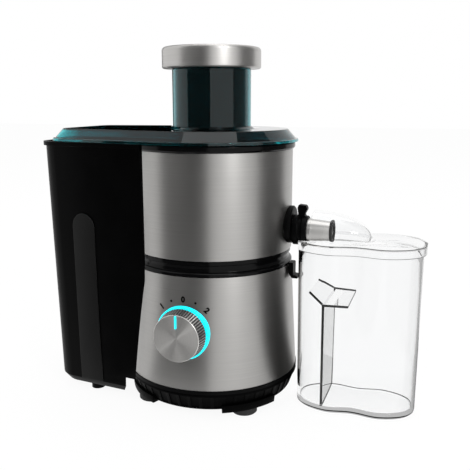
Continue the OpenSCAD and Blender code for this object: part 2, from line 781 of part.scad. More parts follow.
// steel disc with raised triangular teeth along curved arms
module grater_disc() {
    top = grater_z + seat + sieve_t + seat + 1;
    color("#c4c7ca") on_axis() {
        translate([0, 0, top - 1]) cylinder(r = grater_r - sieve_t - 0.4, h = 1);
        translate([0, 0, top - eps]) cylinder(r1 = 8, r2 = 3, h = 5);
        for (arm = [0 : tooth_arms - 1], i = [0 : teeth_per_arm - 1]) {
            r = 11 + i * (grater_r - 15) / (teeth_per_arm - 0.5);
            rotate(360 * arm / tooth_arms + i * 7) translate([r, 0, top - eps])
                rotate([90, 0, 0]) translate([0, 0, -0.6])
                    linear_extrude(1.2) polygon([[-1.3, 0], [1.3, 0], [0, tooth_h]]);
        }
    }
}

// ------------------------------------------------------------ lid and pusher

lid_r = bowl_r + rim_out + 2.5;
lid_half_w = pulp_half_w - 2;
lid_wall = 2;

// the dome: a slab at its foot joined to a smaller slab at its top
module dome(inset, z0, z1) {
    lean = dome_lean * (z1 - dome_z) / dome_h;
    hull() {
        translate([0, 0, z0]) linear_extrude(eps)
            drawn_out(lid_r - 2 - inset, lid_reach - 2 - inset, lid_half_w - 2 - inset,
                pulp_corner_r - inset, $fn = 96);
        translate([0, 0, z1 - eps]) linear_extrude(eps)
            drawn_out(lid_r - 2 - inset - lean, lid_reach - 2 - inset - lean,
                lid_half_w - 2 - inset - lean, pulp_corner_r - inset, $fn = 96);
    }
}

module lid_shell() {
    color("#0f4f5a", 0.6) on_axis() difference() {
        union() {
            difference() {
                union() {
                    translate([0, 0, lid_z]) linear_extrude(flange_t)
                        drawn_out(lid_r, lid_reach, lid_half_w, pulp_corner_r, $fn = 96);
                    dome(0, dome_z - 1, lid_top);
                }
                dome(lid_wall, lid_z - 1, lid_top - lid_wall);
            }
            translate([0, 0, lid_top - 1]) cylinder(r1 = chute_r + 2.6, r2 = chute_r + 0.6, h = 3);
        }
        translate([0, 0, lid_top - 20]) cylinder(r = chute_r + seat, h = 40);
    }
}

module feed_chute() {
    color("#0f4f5a", 0.6) on_axis() ring(chute_r, chute_r - chute_wall, chute_low, chute_top);
}

pusher_r = chute_r - chute_wall - pusher_gap;
pusher_z = grater_z + pusher_rise;

module pusher_body() {
    color("#0a0b0c") on_axis() {
        ring(pusher_r, pusher_r - 2, pusher_z + 2, cap_z - seat);
        translate([0, 0, pusher_z]) cylinder(r1 = pusher_r - 1.5, r2 = pusher_r, h = 2 + eps);
        for (i = [0:5]) rotate(i * 60) translate([4, -0.8, pusher_z + 1])
            cube([pusher_r - 5, 1.6, 9]);
    }
}

module pusher_cap() {
    round_r = 4;
    color("silver") on_axis() rotate_extrude($fn = 96) union() {
        translate([0, cap_z]) square([cap_r - round_r, cap_h]);
        translate([0, cap_z]) square([cap_r, cap_h - round_r]);
        translate([cap_r - round_r, cap_z + cap_h - round_r]) intersection() {
            circle(r = round_r, $fn = 32);
            square(round_r);
        }
    }
}

// ------------------------------------------------------------ pulp container

pulp_big_r = bowl_r + rim_out + 1.2;
pulp_end = 36.5;

module pulp_solid(inset, z0, z1) {
    hull() {
        translate([0, 0, z1 - eps]) linear_extrude(eps) drawn_out(pulp_big_r - inset,
            pulp_reach - inset, pulp_half_w - inset, pulp_corner_r - inset, $fn = 48);
        translate([0, 0, z0 + 6]) linear_extrude(eps) drawn_out(pulp_big_r - 9 - inset,
            pulp_reach - pulp_taper - inset, pulp_half_w - 3 - inset, pulp_corner_r - inset, $fn = 48);
        translate([0, 0, z0]) linear_extrude(eps) drawn_out(pulp_big_r - 13 - inset,
            pulp_reach - pulp_taper - 4 - inset, pulp_half_w - 7 - inset, pulp_corner_r - 2 - inset,
            $fn = 48);
    }
}

// the hollow that the bowl and the base stand in, with room for the base's foot
module pulp_hollow(grow) {
    cylinder(r = pulp_big_r + grow, h = rim_z + 2, $fn = 96);
    cylinder(r1 = base_bottom_r + 3.5 + grow, r2 = base_top_r + 3.2 + grow, h = waist_z + 6, $fn = 96);
    cylinder(r = base_bottom_r + 8.5 + grow, h = base_sleeve_z - 5 + grow, $fn = 96);
    translate([-pulp_end - grow, -200, -1]) cube([200, 400, rim_z + 4]);
}

module pulp_container() {
    floor_z = pulp_stand_h + pulp_wall;
    color("#0a0a0b") on_axis() {
        difference() {
            union() {
                pulp_solid(0, pulp_stand_h, rim_z);
                translate([0, 0, rim_z - 3.5]) linear_extrude(3.5) drawn_out(pulp_big_r,
                    pulp_reach + lip, pulp_half_w + lip, pulp_corner_r + lip, $fn = 48);
            }
            pulp_hollow(0);
            difference() {
                pulp_solid(pulp_wall, floor_z, rim_z + 1);
                pulp_hollow(pulp_wall);
            }
        }
        for (p = [[-124, 0], [-100, -38], [-100, 38]]) translate([p[0], p[1], clear])
            cylinder(r = 6, h = floor_z - clear - eps, $fn = 32);
    }
}

// soft strip with a round top, laid on the sloping front of the container
module pulp_grip() {
    mid_x = -96.5;
    low = pulp_stand_h + 6.5;
    color("#26282a") on_axis() intersection() {
        difference() {
            pulp_solid(-1.2, pulp_stand_h, rim_z);
            pulp_solid(-seat, pulp_stand_h, rim_z);
        }
        translate([mid_x, -40, 0]) rotate([90, 0, 0]) linear_extrude(60) union() {
            translate([-grip_w / 2, low]) square([grip_w, grip_top - grip_w / 2 - low]);
            translate([0, grip_top - grip_w / 2]) circle(r = grip_w / 2);
        }
    }
}

// ------------------------------------------------------------------ juice jug

// long plan with round ends and a shallow waist half way along each side
function jug_side(u) = pow(max(0, 1 - pow(abs(u), 2.5)), 0.4)
    * (1 - jug_pinch * pow(max(0, cos(180 * u)), 2));
function jug_plan(half_len, half_w) = [for (i = [0:71])
    let (c = cos(i * 5), u = sign(c) * pow(abs(c), 0.8))
    [half_len * u, half_w * sign(sin(i * 5)) * jug_side(u)]];

module jug_solid(inset, z0, z1) {
    translate([0, 0, z0]) linear_extrude(z1 - z0, slices = 1,
        scale = [(jug_top_x - inset) / (jug_half_len - inset),
            (jug_top_y - inset) / (jug_half_w - inset)])
        polygon(jug_plan(jug_half_len - inset, jug_half_w - inset));
}

module jug_body() {
    color("#dfe6ea", 0.3) on_jug() difference() {
        union() {
            jug_solid(0, 2, jug_h);
            translate([0, 0, clear]) linear_extrude(2 - clear + eps)
                polygon(jug_plan(jug_half_len - 2, jug_half_w - 2));
        }
        jug_solid(jug_wall, 5, jug_h + eps);
    }
}

froth_x = -jug_half_len / 2;
wing_l = 20;

// half the room inside the jug at a distance x from its middle and a height z
function jug_room(x, z) = (jug_half_w + jug_flare_y * z / jug_h - jug_wall)
    * jug_side(x / (jug_half_len - jug_wall)) - 0.4;

module wing(x0, x1, z) {
    linear_extrude(2) polygon([[x0, -jug_room(x0, z)], [x1, -jug_room(x1, z)],
        [x1, jug_room(x1, z)], [x0, jug_room(x0, z)]]);
}

// upright plate that holds the froth back, with a wing to each side of its top
module froth_separator() {
    foot = 5 + seat;
    low = jug_room(froth_x - 1, foot);
    high = jug_room(froth_x - 1, froth_h);
    color("#c9d2d6", 0.5) on_jug() {
        translate([froth_x - 1, 0, 0]) rotate([90, 0, 90]) linear_extrude(2) polygon([
            [-low, foot], [low, foot], [high, froth_h], [-high, froth_h]]);
        translate([0, 0, froth_h - 2]) wing(froth_x, froth_x + wing_l, froth_h - 6);
        translate([froth_x, 0, froth_h - 2]) rotate([0, 32, 0]) translate([-froth_x, 0, 0])
            wing(froth_x - 0.8 * wing_l, froth_x, froth_h - 6);
    }
}

jug_lid_z = jug_h + clear;
jug_lid_top = jug_lid_z + jug_lid_h;
hood_x = collar_end + 4.6 - jug_mid;
hood_z = spout_z - 3;

function hood_profile(r, len) = concat([[0, 0]],
    [for (t = [0:6:90]) [r * cos(t), len * sin(t)]]);

module hood_form(r, len) {
    translate([hood_x, 0, hood_z]) rotate([0, 90, 0])
        rotate_extrude($fn = 64) polygon(hood_profile(r, len));
}

module jug_lid() {
    color("#dfe6ea", 0.35) on_jug() difference() {
        union() {
            translate([0, 0, jug_lid_z]) linear_extrude(jug_lid_h)
                polygon(jug_plan(jug_top_x + jug_lid_grow, jug_top_y + jug_lid_grow));
            intersection() {
                hood_form(hood_r, hood_len);
                translate([hood_x, -40, jug_lid_top - 1]) cube([80, 80, 60]);
            }
        }
        translate([0, 0, jug_lid_z - 1]) linear_extrude(jug_lid_h - 1)
            polygon(jug_plan(jug_top_x - 0.5, jug_top_y - 0.5));
        intersection() {
            hood_form(hood_r - 1.8, hood_len - 1.8);
            translate([hood_x - 1, -40, jug_lid_z]) cube([80, 80, 60]);
        }
        translate([-80, -hood_r + 1.8, jug_lid_z - 1]) cube([80 + hood_x + 0.5, 2 * hood_r - 3.6, 20]);
    }
}

// ----------------------------------------------------------------------- dial

knob_back = ring_front + clear;

module knob_body() {
    color("#3a3c3f") on_axis() along_front(knob_back, dial_z) difference() {
        union() {
            cylinder(r = dial_r - 0.4, h = dial_depth - 1);
            for (i = [0:35]) rotate(i * 10) translate([dial_r - 0.6, -0.8, 0.6])
                cube([0.6, 1.6, dial_depth - 2]);
        }
        translate([0, 0, -1]) cylinder(r = spindle_r + 0.01, h = 8 + 1);
    }
}

module knob_face() {
    color("silver") on_axis() along_front(knob_back + dial_depth - 1 + eps, dial_z) {
        cylinder(r = dial_r, h = 0.5);
        translate([0, 0, 0.5 - eps]) cylinder(r1 = dial_r, r2 = dial_r - 0.5, h = 0.5);
    }
}

module knob_pointer() {
    color("#12c9e6") on_axis() along_front(knob_back + dial_depth + seat, dial_z)
        translate([-0.9, dial_r * 0.36, 0]) cube([1.8, dial_r * 0.58, pointer_t]);
}

module knob_spindle() {
    color("#c9ccd0") on_axis() along_front(knob_back - 20, dial_z)
        cylinder(r = spindle_r, h = 20 + 8);
}

base_shell();
base_sleeve();
waist_ring();
bottom_cover();
rubber_feet();
bottom_screws();
light_ring();
light_board();
rotary_switch();
cord_inlet();
motor_stator();
motor_coils();
upper_bracket();
lower_bracket();
upper_bearing();
lower_bearing();
brush_holders();
motor_grommets();
motor_screws();
shaft_seal();
safety_switch();
juice_bowl();
bowl_floor();
bowl_sleeve();
bowl_rim();
spout_boss();
spout_tube();
spout_seal();
motor_shaft();
armature();
commutator();
cooling_fan();
drive_coupling();
basket_hub();
sieve();
basket_rim();
grater_disc();
lid_shell();
feed_chute();
pusher_body();
pusher_cap();
pulp_container();
pulp_grip();
jug_body();
froth_separator();
jug_lid();
knob_body();
knob_face();
knob_pointer();
knob_spindle();
drip_collar();
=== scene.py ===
import math
from contextlib import contextmanager

import bmesh
import bpy
from bpy.props import FloatProperty, FloatVectorProperty, IntProperty, PointerProperty
from mathutils import Matrix, Vector


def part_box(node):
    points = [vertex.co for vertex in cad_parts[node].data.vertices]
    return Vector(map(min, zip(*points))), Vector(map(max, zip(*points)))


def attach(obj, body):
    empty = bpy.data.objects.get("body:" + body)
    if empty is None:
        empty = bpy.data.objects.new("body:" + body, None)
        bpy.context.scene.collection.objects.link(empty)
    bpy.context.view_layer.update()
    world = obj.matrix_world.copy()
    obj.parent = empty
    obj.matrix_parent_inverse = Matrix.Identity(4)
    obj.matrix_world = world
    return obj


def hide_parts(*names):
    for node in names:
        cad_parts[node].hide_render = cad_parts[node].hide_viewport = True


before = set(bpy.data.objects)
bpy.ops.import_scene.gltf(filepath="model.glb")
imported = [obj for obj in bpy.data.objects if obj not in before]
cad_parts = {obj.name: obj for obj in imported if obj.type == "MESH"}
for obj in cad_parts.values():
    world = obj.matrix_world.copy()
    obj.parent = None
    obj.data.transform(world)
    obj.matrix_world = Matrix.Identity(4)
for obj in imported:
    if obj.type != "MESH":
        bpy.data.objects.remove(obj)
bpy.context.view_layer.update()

bl_info = {
    "name": "Centrifugal juicer",
    "version": (1, 0, 0),
    "blender": (4, 5, 0),
    "location": "View3D > Sidebar > Juicer",
    "description": "Builds the looks of a centrifugal juicer around its CAD frame",
    "category": "Object",
}


def middle(box, axis):
    return (box[0][axis] + box[1][axis]) / 2


def heights(box):
    """The lowest and the highest z of a box, in mm."""
    return box[0].z / MM, box[1].z / MM


# Lengths are in metres. MM turns the drawing's millimetres into them.
MM = 0.001
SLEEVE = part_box("bowl_sleeve")
AXIS = Vector((middle(SLEEVE, 0), middle(SLEEVE, 1), 0))
JUG_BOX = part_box("jug_body")
JUG_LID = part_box("jug_lid")
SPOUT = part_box("spout_tube")
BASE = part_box("base_sleeve")
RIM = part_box("bowl_rim")
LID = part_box("lid_shell")
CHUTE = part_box("feed_chute")
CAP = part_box("pusher_cap")
DIAL_Z = middle(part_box("knob_face"), 2)
SPOUT_Z = middle(SPOUT, 2)

UP = Matrix.Translation(AXIS)
ON_JUG = Matrix.Translation((middle(JUG_BOX, 0), AXIS.y, 0))
# local Z becomes -Y, with local Y upright: for what is turned about the dial's axis
FRONT = Matrix.Translation((AXIS.x, AXIS.y, DIAL_Z)) @ Matrix.Rotation(math.radians(90), 4, "X")
# local Z becomes +X, with local X pointing down: for what is turned about the spout's axis
SIDE = Matrix.Translation((AXIS.x, AXIS.y, SPOUT_Z)) @ Matrix.Rotation(math.radians(90), 4, "Y")

# sizes in mm: the steel sleeves, the waist between them, the lid's plan and the chute, and
# for the jug its half length and half width at the foot, its waist's share, and its height
SHEET = 0.8
BASE_LOW_R, BASE_HIGH_R, BOWL_R = 75.5, 70.5, 70
WAIST_LOW, WAIST_HIGH = 121.6, 134.5
LID_R, LID_REACH, LID_HALF_W, CORNER = 74.5, 134.8, 52.0, 20.0
CHUTE_R, CHUTE_WALL = 33.6, 2.2
JUG_HALF_L, JUG_HALF_W, JUG_PINCH, JUG_HIGH = 50.5, 28.5, 0.16, 138.5
# the marks round the dial in mm: their circle, their height, a dot's radius, half their
# thickness, how much bolder than the font they are, and the gap between them and the steel
MARK_R, MARK_SIZE, DOT_R, MARK_HALF, MARK_BOLD, MARK_GAP = 27.5, 6.4, 0.95, 0.05, 0.36, 0.06

# edges of a mesh that turn by more than this, in degrees, stay sharp
SHARP = 32.0

# the photo's camera: place in m, degrees down and to the side, lens and sensor in mm
CAMERA_SPOT = (0.17484, -0.53460, 0.260)
CAMERA_DOWN, CAMERA_SIDE = 11.605, 18
CAMERA_LENS, CAMERA_SENSOR = 50.12, 36.0

# name, place in m, width in m and power in W. All aim at one spot
LAMPS = (
    ("KeyLamp", (-1.3, -1.5, 1.7), 1.2, 11.0),
    ("FillLamp", (1.6, -1.4, 1.3), 0.5, 17.0),
    ("TopLamp", (0.0, 0.3, 2.1), 1.6, 12.0))
LAMP_AIM = Vector((0, 0, 0.15))

# Cards stand on a circle round the machine. Each has its first and last angle from the
# camera in degrees, its paint, and the (radius, height) in m of its edges and folds
CARD_R, CARD_LOW, CARD_TOP = 0.44, 0.001, 1.4
CARD_PAINTS = {"CardBlack": 0.0, "CardGrey": 0.2, "CardDark": 0.07}
CARDS = (
    (-70, -3, "CardDark", ((CARD_R, CARD_LOW), (CARD_R, CARD_TOP))),
    (-70, -3, "CardGrey", ((0.12, CARD_LOW), (CARD_R, CARD_LOW))),
    (62, 112, "CardBlack", ((0.078, CARD_LOW), (CARD_R, CARD_LOW), (CARD_R, 0.1))),
    (64, 113, "CardGrey", ((CARD_R, 0.1), (CARD_R, CARD_TOP))),
    (190, 214, "CardBlack", ((0.12, CARD_LOW), (CARD_R, CARD_LOW), (CARD_R, CARD_TOP))))


class JuicerSizes(bpy.types.PropertyGroup):
    """Sizes that a user would change."""

    lid_edge: FloatProperty(
        name="Lid edge", description="Rounding of the lid's upper edge",
        default=1.6 * MM, min=0.2 * MM, max=3 * MM, unit="LENGTH")
    cap_edge: FloatProperty(
        name="Cap edge", description="Rounding of the pusher cap's upper edge",
        default=3.6 * MM, min=1 * MM, max=5 * MM, unit="LENGTH")
    knob_ribs: IntProperty(
        name="Knob ribs", description="Number of fine ribs round the dial knob",
        default=58, min=24, max=160)
    sieve_rows: IntProperty(
        name="Sieve rows", description="Rows of perforations up the sieve",
        default=34, min=8, max=60)
    sieve_holes: IntProperty(
        name="Sieve holes", description="Perforations in each row of the sieve",
        default=96, min=24, max=140)


def colour_property(name, description, default):
    return FloatVectorProperty(name=name, description=description, subtype="COLOR", size=3,
                               min=0, max=1, default=default)


class JuicerColours(bpy.types.PropertyGroup):
    """Colours that a user would change."""

    steel: colour_property(
        "Steel", "Brushed steel of the sleeves, the cap and the dial", (0.4, 0.393, 0.382))
    black: colour_property("Black", "Black mouldings", (0.006, 0.006, 0.0065))
    grip: colour_property("Grip", "Soft strip on the pulp container", (0.011, 0.011, 0.011))
    tint: colour_property("Tint", "Edges of the tinted lid and chute", (0.0, 0.72, 0.78))
    clear: colour_property("Clear", "Clear plastic of the jug", (0.97, 0.973, 0.975))
    glow: colour_property("Glow", "Light behind the dial", (0.0, 0.78, 0.9))


def sizes():
    return bpy.context.scene.juicer_sizes


def colours():
    return bpy.context.scene.juicer_colours


# ------------------------------------------------------------------- materials

class Graph:
    """Short ways to fill a node tree."""

    def __init__(self, tree):
        self.tree = tree
        self.nodes = tree.nodes

    def feed(self, inputs, values):
        """Each input, by name or number, gets a value or a link from a node's output."""
        for key, value in values.items():
            target = inputs[key]
            if isinstance(value, bpy.types.NodeSocket):
                self.tree.links.new(value, target)
            else:
                target.default_value = (*value, 1) if target.type == "RGBA" else value

    def add(self, kind, values=None, **settings):
        """A new node with its settings and inputs."""
        node = self.nodes.new(kind)
        for key, value in settings.items():
            setattr(node, key, value)
        self.feed(node.inputs, values or {})
        return node

    def maths(self, operation, *values):
        node = self.add("ShaderNodeMath", operation=operation)
        self.feed(node.inputs, dict(enumerate(values)))
        return node.outputs[0]

    def seen(self, *rays):
        """1 for rays of these kinds, 0 for others."""
        path = self.add("ShaderNodeLightPath").outputs
        share = path[rays[0]]
        for ray in rays[1:]:
            share = self.maths("MAXIMUM", share, path[ray])
        return share

    def surface(self, output, share, first, second):
        """The output shows the first shader, and the second by a share."""
        pick = self.add("ShaderNodeMixShader", {
            0: share, 1: first.outputs[0], 2: second.outputs[0]})
        self.feed(self.nodes[output].inputs, {"Surface": pick.outputs[0]})


class Look(Graph):
    """A new material and its Principled shader."""

    def __init__(self, name):
        self.mat = bpy.data.materials.new(name)
        self.mat.use_nodes = True
        super().__init__(self.mat.node_tree)
        self.shader = self.nodes["Principled BSDF"]

    def give(self, values):
        """Inputs of the Principled shader."""
        self.feed(self.shader.inputs, values)

    def grain(self, stretch, detail):
        """Noise in Object coordinates, stretched by a scale for each axis."""
        coords = self.add("ShaderNodeTexCoord")
        place = self.add("ShaderNodeMapping", {
            "Vector": coords.outputs["Object"], "Scale": stretch})
        noise = self.add("ShaderNodeTexNoise", {
            "Vector": place.outputs["Vector"], "Scale": 1.0, "Detail": detail})
        return noise.outputs["Fac"]

    def ramp(self, source, low, high, to_low, to_high):
        """source from low..high becomes to_low..to_high."""
        return self.add("ShaderNodeMapRange", {
            "Value": source, "From Min": low, "From Max": high,
            "To Min": to_low, "To Max": to_high}).outputs["Result"]

    def tone(self, source, dark, light):
        """source 0.3..0.7 becomes a colour between dark and light."""
        node = self.add("ShaderNodeValToRGB", {"Fac": source})
        for stop, colour, place in zip(node.color_ramp.elements, (dark, light), (0.3, 0.7)):
            stop.color = (*colour, 1)
            stop.position = place
        return node.outputs["Color"]

    def mix(self, share, low, high):
        """A colour between two."""
        # 6 and 7 are the colour inputs, which share their names with the number inputs
        return self.add("ShaderNodeMix", {0: share, 6: low, 7: high},
                        data_type="RGBA").outputs[2]

    def overlay(self, share, colour):
        """colour lies over the Base Color by a share."""
        under = self.shader.inputs["Base Color"].links[0].from_socket
        self.give({"Base Color": self.mix(share, under, colour)})

    def part(self, vector, axis):
        """One axis of a vector."""
        return self.add("ShaderNodeSeparateXYZ", {0: vector}).outputs[axis]

    def vary(self, colour, shares, noise, rough, swing, rough_noise):
        """The colour wavers between two shares of itself, and the roughness round its middle."""
        dark, light = shares
        self.give({"Base Color": self.tone(noise, shade(colour, dark), shade(colour, light)),
                   "Roughness": self.ramp(rough_noise, 0.3, 0.7, rough - swing, rough + swing)})

    def bump(self, height, strength, distance):
        node = self.add("ShaderNodeBump", {
            "Strength": strength, "Distance": distance, "Height": height})
        self.give({"Normal": node.outputs["Normal"]})

    def combed(self, anisotropic, axis, height, relief):
        """Metal whose gloss is drawn out along streaks that run round an axis."""
        tangent = self.add("ShaderNodeTangent", direction_type="RADIAL", axis=axis)
        self.give({"Metallic": 1.0, "Anisotropic": anisotropic, "Anisotropic Rotation": 0.25,
                   "Tangent": tangent.outputs["Tangent"]})
        self.bump(height, relief, 0.01 * MM)


def shade(colour, amount):
    return tuple(min(1.0, c * amount) for c in colour)


def brushed(name, stretch, rough=0.42, axis="Z", spread=0.06, level=1.0):
    """Steel brushed along one direction: fine streaks in colour, gloss and relief."""
    look = Look(name)
    fine = look.grain(stretch, 2.0)
    broad = look.grain([s * 0.3 for s in stretch], 1.0)
    look.vary(shade(colours().steel, level), (1 - spread, 1 + spread), fine, rough, 0.03, broad)
    look.combed(0.6, axis, fine, 0.04)
    return look


def spun(name, centre):
    """Steel turned on a lathe: fine rings round a centre in the X-Z plane."""
    look = Look(name)
    coords = look.add("ShaderNodeTexCoord")
    place = look.add("ShaderNodeMapping", {
        "Vector": coords.outputs["Object"], "Location": (-centre[0], 0, -centre[2]),
        "Scale": (1, 0, 1)})
    far = look.add("ShaderNodeVectorMath", {0: place.outputs["Vector"]}, operation="LENGTH")
    rings = look.add("ShaderNodeTexNoise", {
        "W": far.outputs["Value"], "Scale": 2600.0, "Detail": 2.0}, noise_dimensions="1D")
    fine = rings.outputs["Fac"]
    # the steel is raised 2.15 times here: painted light, standing in for the bright reflection on
    # the face
    look.vary(shade(colours().steel, 2.15), (0.93, 1.07), fine, 0.43, 0.03, fine)
    look.combed(0.8, "Y", fine, 0.05)
    return look


def moulded(name, colour, rough, size=2200.0, relief=0.15, spread=0.12, specular=0.5):
    """Moulded plastic or rubber with a fine cast texture."""
    look = Look(name)
    fine = look.grain((size, size, size), 2.0)
    broad = look.grain((40, 40, 40), 3.0)
    look.vary(colour, (1 - spread, 1 + spread), broad, rough, 0.04, broad)
    look.give({"Specular IOR Level": specular})
    look.bump(fine, relief, 0.05 * MM)
    return look


def metal(name, colour, rough, stretch=(600, 600, 600), relief=0.1):
    """Plain metal with a grain."""
    look = Look(name)
    fine = look.grain(stretch, 3.0)
    look.vary(colour, (0.88, 1.1), fine, rough, 0.05, fine)
    look.give({"Metallic": 1.0})
    look.bump(fine, relief, 0.05 * MM)
    return look


def see_through(name, face_on, edge_on, ior=1.49, rough=0.02, start=0.3, sheen=0.0):
    """Clear or tinted plastic. Its colour changes where it is seen edge on: a painted dark outline
    on clear plastic, and a painted teal glow on the tinted chute and lid rim.
    """
    look = Look(name)
    # the edge-on colour is painted light, not a colour of the plastic
    edge = look.add("ShaderNodeLayerWeight", {"Blend": 0.35})
    share = look.ramp(edge.outputs["Facing"], start, 0.95, 0.0, 1.0)
    wave = look.grain((25, 25, 25), 1.0)
    look.give({
        "Base Color": look.mix(share, face_on, edge_on),
        "Roughness": look.ramp(wave, 0.3, 0.7, rough, rough + 0.02),
        "Transmission Weight": 1.0, "IOR": ior,
        "Sheen Weight": sheen, "Sheen Tint": edge_on, "Sheen Roughness": 0.3})
    # lamps' light goes through to what stands inside
    through = look.add("ShaderNodeBsdfTransparent", {"Color": [0.5 + 0.5 * c for c in face_on]})
    look.surface("Material Output", look.seen("Is Shadow Ray"), look.shader, through)
    return look


def tinted_lid(name):
    """Tinted plastic, deep in colour over the bowl, with a painted teal glow on the sides of its
    far left end.
    """
    look = see_through(name, (0.008, 0.07, 0.085), (0.005, 0.06, 0.07), ior=1.37, rough=0.01)
    glow_reach = 34 * MM
    x = look.part(look.add("ShaderNodeTexCoord").outputs["Object"], "X")
    along = look.ramp(x, LID[0].x, LID[0].x + glow_reach, 1.0, 0.0)
    upward = look.part(look.add("ShaderNodeNewGeometry").outputs["Normal"], "Z")
    side = look.ramp(upward, 0.6, 0.95, 1.0, 0.0)
    # painted glow: bright teal laid over the sides, not the top, fading out 34 mm from the left
    # end
    look.overlay(look.maths("MULTIPLY", along, side), (0.05, 0.9, 0.95))
    return look


def painted_dark_line(name, clear, height, width):
    """Clear plastic that turns dark towards a height and stays so above: a painted dark line,
    standing in for the dark reflections along the top of a clear wall.
    """
    look = see_through(name, clear, (0.62, 0.63, 0.64), ior=1.3, start=0.6)
    z = look.part(look.add("ShaderNodeTexCoord").outputs["Object"], "Z")
    # the near black laid over above the height is painted shade
    look.overlay(look.ramp(z, height - width, height, 0.0, 1.0), (0.005, 0.005, 0.005))
    return look


def lit(name, colour, strength):
    """Translucent plastic lit from behind, a little uneven."""
    look = Look(name)
    glow = look.tone(look.grain((60, 60, 60), 1.0), shade(colour, 0.8), colour)
    look.give({"Base Color": glow, "Emission Color": glow, "Emission Strength": strength,
               "Roughness": 0.35})
    return look


def make_finishes():
    """Every finish of the juicer, by name."""
    c = colours()
    black, grip = tuple(c.black), tuple(c.grip)
    tint, clear, glow = tuple(c.tint), tuple(c.clear), tuple(c.glow)
    looks = {
        "brushed_round": brushed("BrushedRound", (14, 14, 5000)),
        # the cap's steel is the sleeves' raised 1.3 times: painted light, for the cap's brighter
        # look
        "brushed_cap": brushed("BrushedCap", (14, 14, 5000), level=1.3),
        "brushed_tube": brushed("BrushedTube", (9000, 20, 20), rough=0.3, axis="X", spread=0.03,
                                level=1.2),
        "spun": spun("SpunFace", (AXIS.x, 0, DIAL_Z)),
        "black": moulded("BlackSatin", shade(black, 0.2), 0.4, relief=0.06, specular=0.06),
        "cover": moulded("CoverBlack", shade(black, 0.08), 0.5, relief=0.04, specular=0.03),
        "gloss": moulded("BlackGloss", shade(black, 0.3), 0.16, relief=0.01, specular=0.12),
        "bin": moulded("BinBlack", shade(black, 0.15), 0.36, relief=0.04, specular=0.04),
        "knob": metal("KnobSide", (0.8, 0.8, 0.8), 0.3, (900, 900, 900), 0.05),
        "grip": moulded("SoftGrip", shade(grip, 0.4), 0.6, size=3000, relief=0.25,
                        specular=0.15),
        "rubber": moulded("Rubber", (0.012, 0.012, 0.012), 0.75, relief=0.3),
        "seal": moulded("Seal", (0.003, 0.003, 0.003), 0.5, relief=0.05, specular=0.05),
        "switch": moulded("SwitchPlastic", (0.035, 0.036, 0.038), 0.45),
        "board": moulded("Board", (0.015, 0.12, 0.05), 0.4),
        "brush_brown": moulded("BrushBrown", (0.12, 0.05, 0.02), 0.5),
        "nylon": moulded("Nylon", (0.62, 0.6, 0.52), 0.5, spread=0.05),
        "lamination": metal("Lamination", (0.2, 0.205, 0.21), 0.5, (60, 60, 3000), 0.4),
        "copper": metal("Copper", (0.72, 0.36, 0.16), 0.35, (200, 200, 2600), 0.5),
        "zinc": metal("Zinc", (0.5, 0.51, 0.52), 0.5, (900, 900, 900), 0.3),
        "bright": metal("BrightSteel", (0.62, 0.62, 0.63), 0.18),
        "screw": metal("ScrewSteel", (0.42, 0.42, 0.42), 0.3),
        "sieve": metal("SieveSteel", (0.55, 0.555, 0.56), 0.28, (300, 300, 1500), 0.1),
        "tint": see_through("TintedChute", (0.03, 0.22, 0.25), tint, ior=1.43, rough=0.01,
                            start=0.5, sheen=0.3),
        "tint_lid": tinted_lid("TintedLid"),
        # brighter teal for the lid's foot band: a painted glow
        "tint_edge": see_through("TintedEdgePaintedGlow", (0.0, 0.3, 0.33), tint, rough=0.01, start=0.2,
                                 sheen=0.3),
        "clear": see_through("ClearPlastic", clear, (0.62, 0.63, 0.64), ior=1.3, start=0.6),
        "plate": see_through("SmokedPlate", (0.84, 0.84, 0.84), (0.6, 0.6, 0.6), ior=1.03),
        "wing": see_through("ClearWing", (0.97, 0.97, 0.97), (0.9, 0.9, 0.9), ior=1.03),
        # the jug lid's painted dark line at the top of its outer wall
        "rim": painted_dark_line("ClearRimPaintedLine", clear, JUG_LID[0].z + 7.2 * MM, 1.3 * MM),
        # near black for the edges of clear pieces: a painted dark outline
        "edge": moulded("ClearEdgePaintedDark", (0.006, 0.006, 0.006), 0.3, relief=0.01, specular=0.1),
        "glow": lit("Glow", glow, 1.0),
        "pointer": lit("PointerGlow", glow, 0.9),
        # print of the dial's marks, and painted shade for the sieve's holes
        "ink_and_hole_shade": moulded("Ink", (0.002, 0.002, 0.002), 0.5, relief=0.01, specular=0.05),
    }
    return {key: look.mat for key, look in looks.items()}


FINISH = {}


# ----------------------------------------------------------------- mesh makers

@contextmanager
def edited(mesh):
    """mesh as a BMesh, written back at the end."""
    bm = bmesh.new()
    bm.from_mesh(mesh)
    yield bm
    bm.to_mesh(mesh)
    bm.free()


def smooth(mesh, sharp=SHARP):
    """Smooth shading but for the edges that turn by more than an angle in degrees."""
    mesh.shade_smooth()
    mesh.set_sharp_from_angle(angle=math.radians(sharp))


def put(name, data):
    """A new object in the scene."""
    obj = bpy.data.objects.new(name, data)
    bpy.context.scene.collection.objects.link(obj)
    return obj


def piece(name, verts, faces, finish, place=None, sharp=SHARP):
    """An object made from points and faces, its doubles merged and its faces outward."""
    mesh = bpy.data.meshes.new(name)
    mesh.from_pydata([tuple(v) for v in verts], [], faces)
    if place is not None:
        mesh.transform(place)
    with edited(mesh) as bm:
        bmesh.ops.remove_doubles(bm, verts=bm.verts, dist=1e-7)
        bmesh.ops.recalc_face_normals(bm, faces=bm.faces)
    smooth(mesh, sharp)
    mesh.materials.append(FINISH[finish])
    return put(name, mesh)


def settle(obj, body, slot, *nodes):
    """obj rides on body and stands for the CAD nodes, which are hidden; slot is not used."""
    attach(obj, body)
    if nodes:
        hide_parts(*nodes)


def join(name, parts):
    """One object from several."""
    bpy.ops.object.select_all(action="DESELECT")
    for p in parts:
        p.select_set(True)
    bpy.context.view_layer.objects.active = parts[0]
    bpy.ops.object.join()
    parts[0].name = name
    parts[0].data.name = name
    return parts[0]


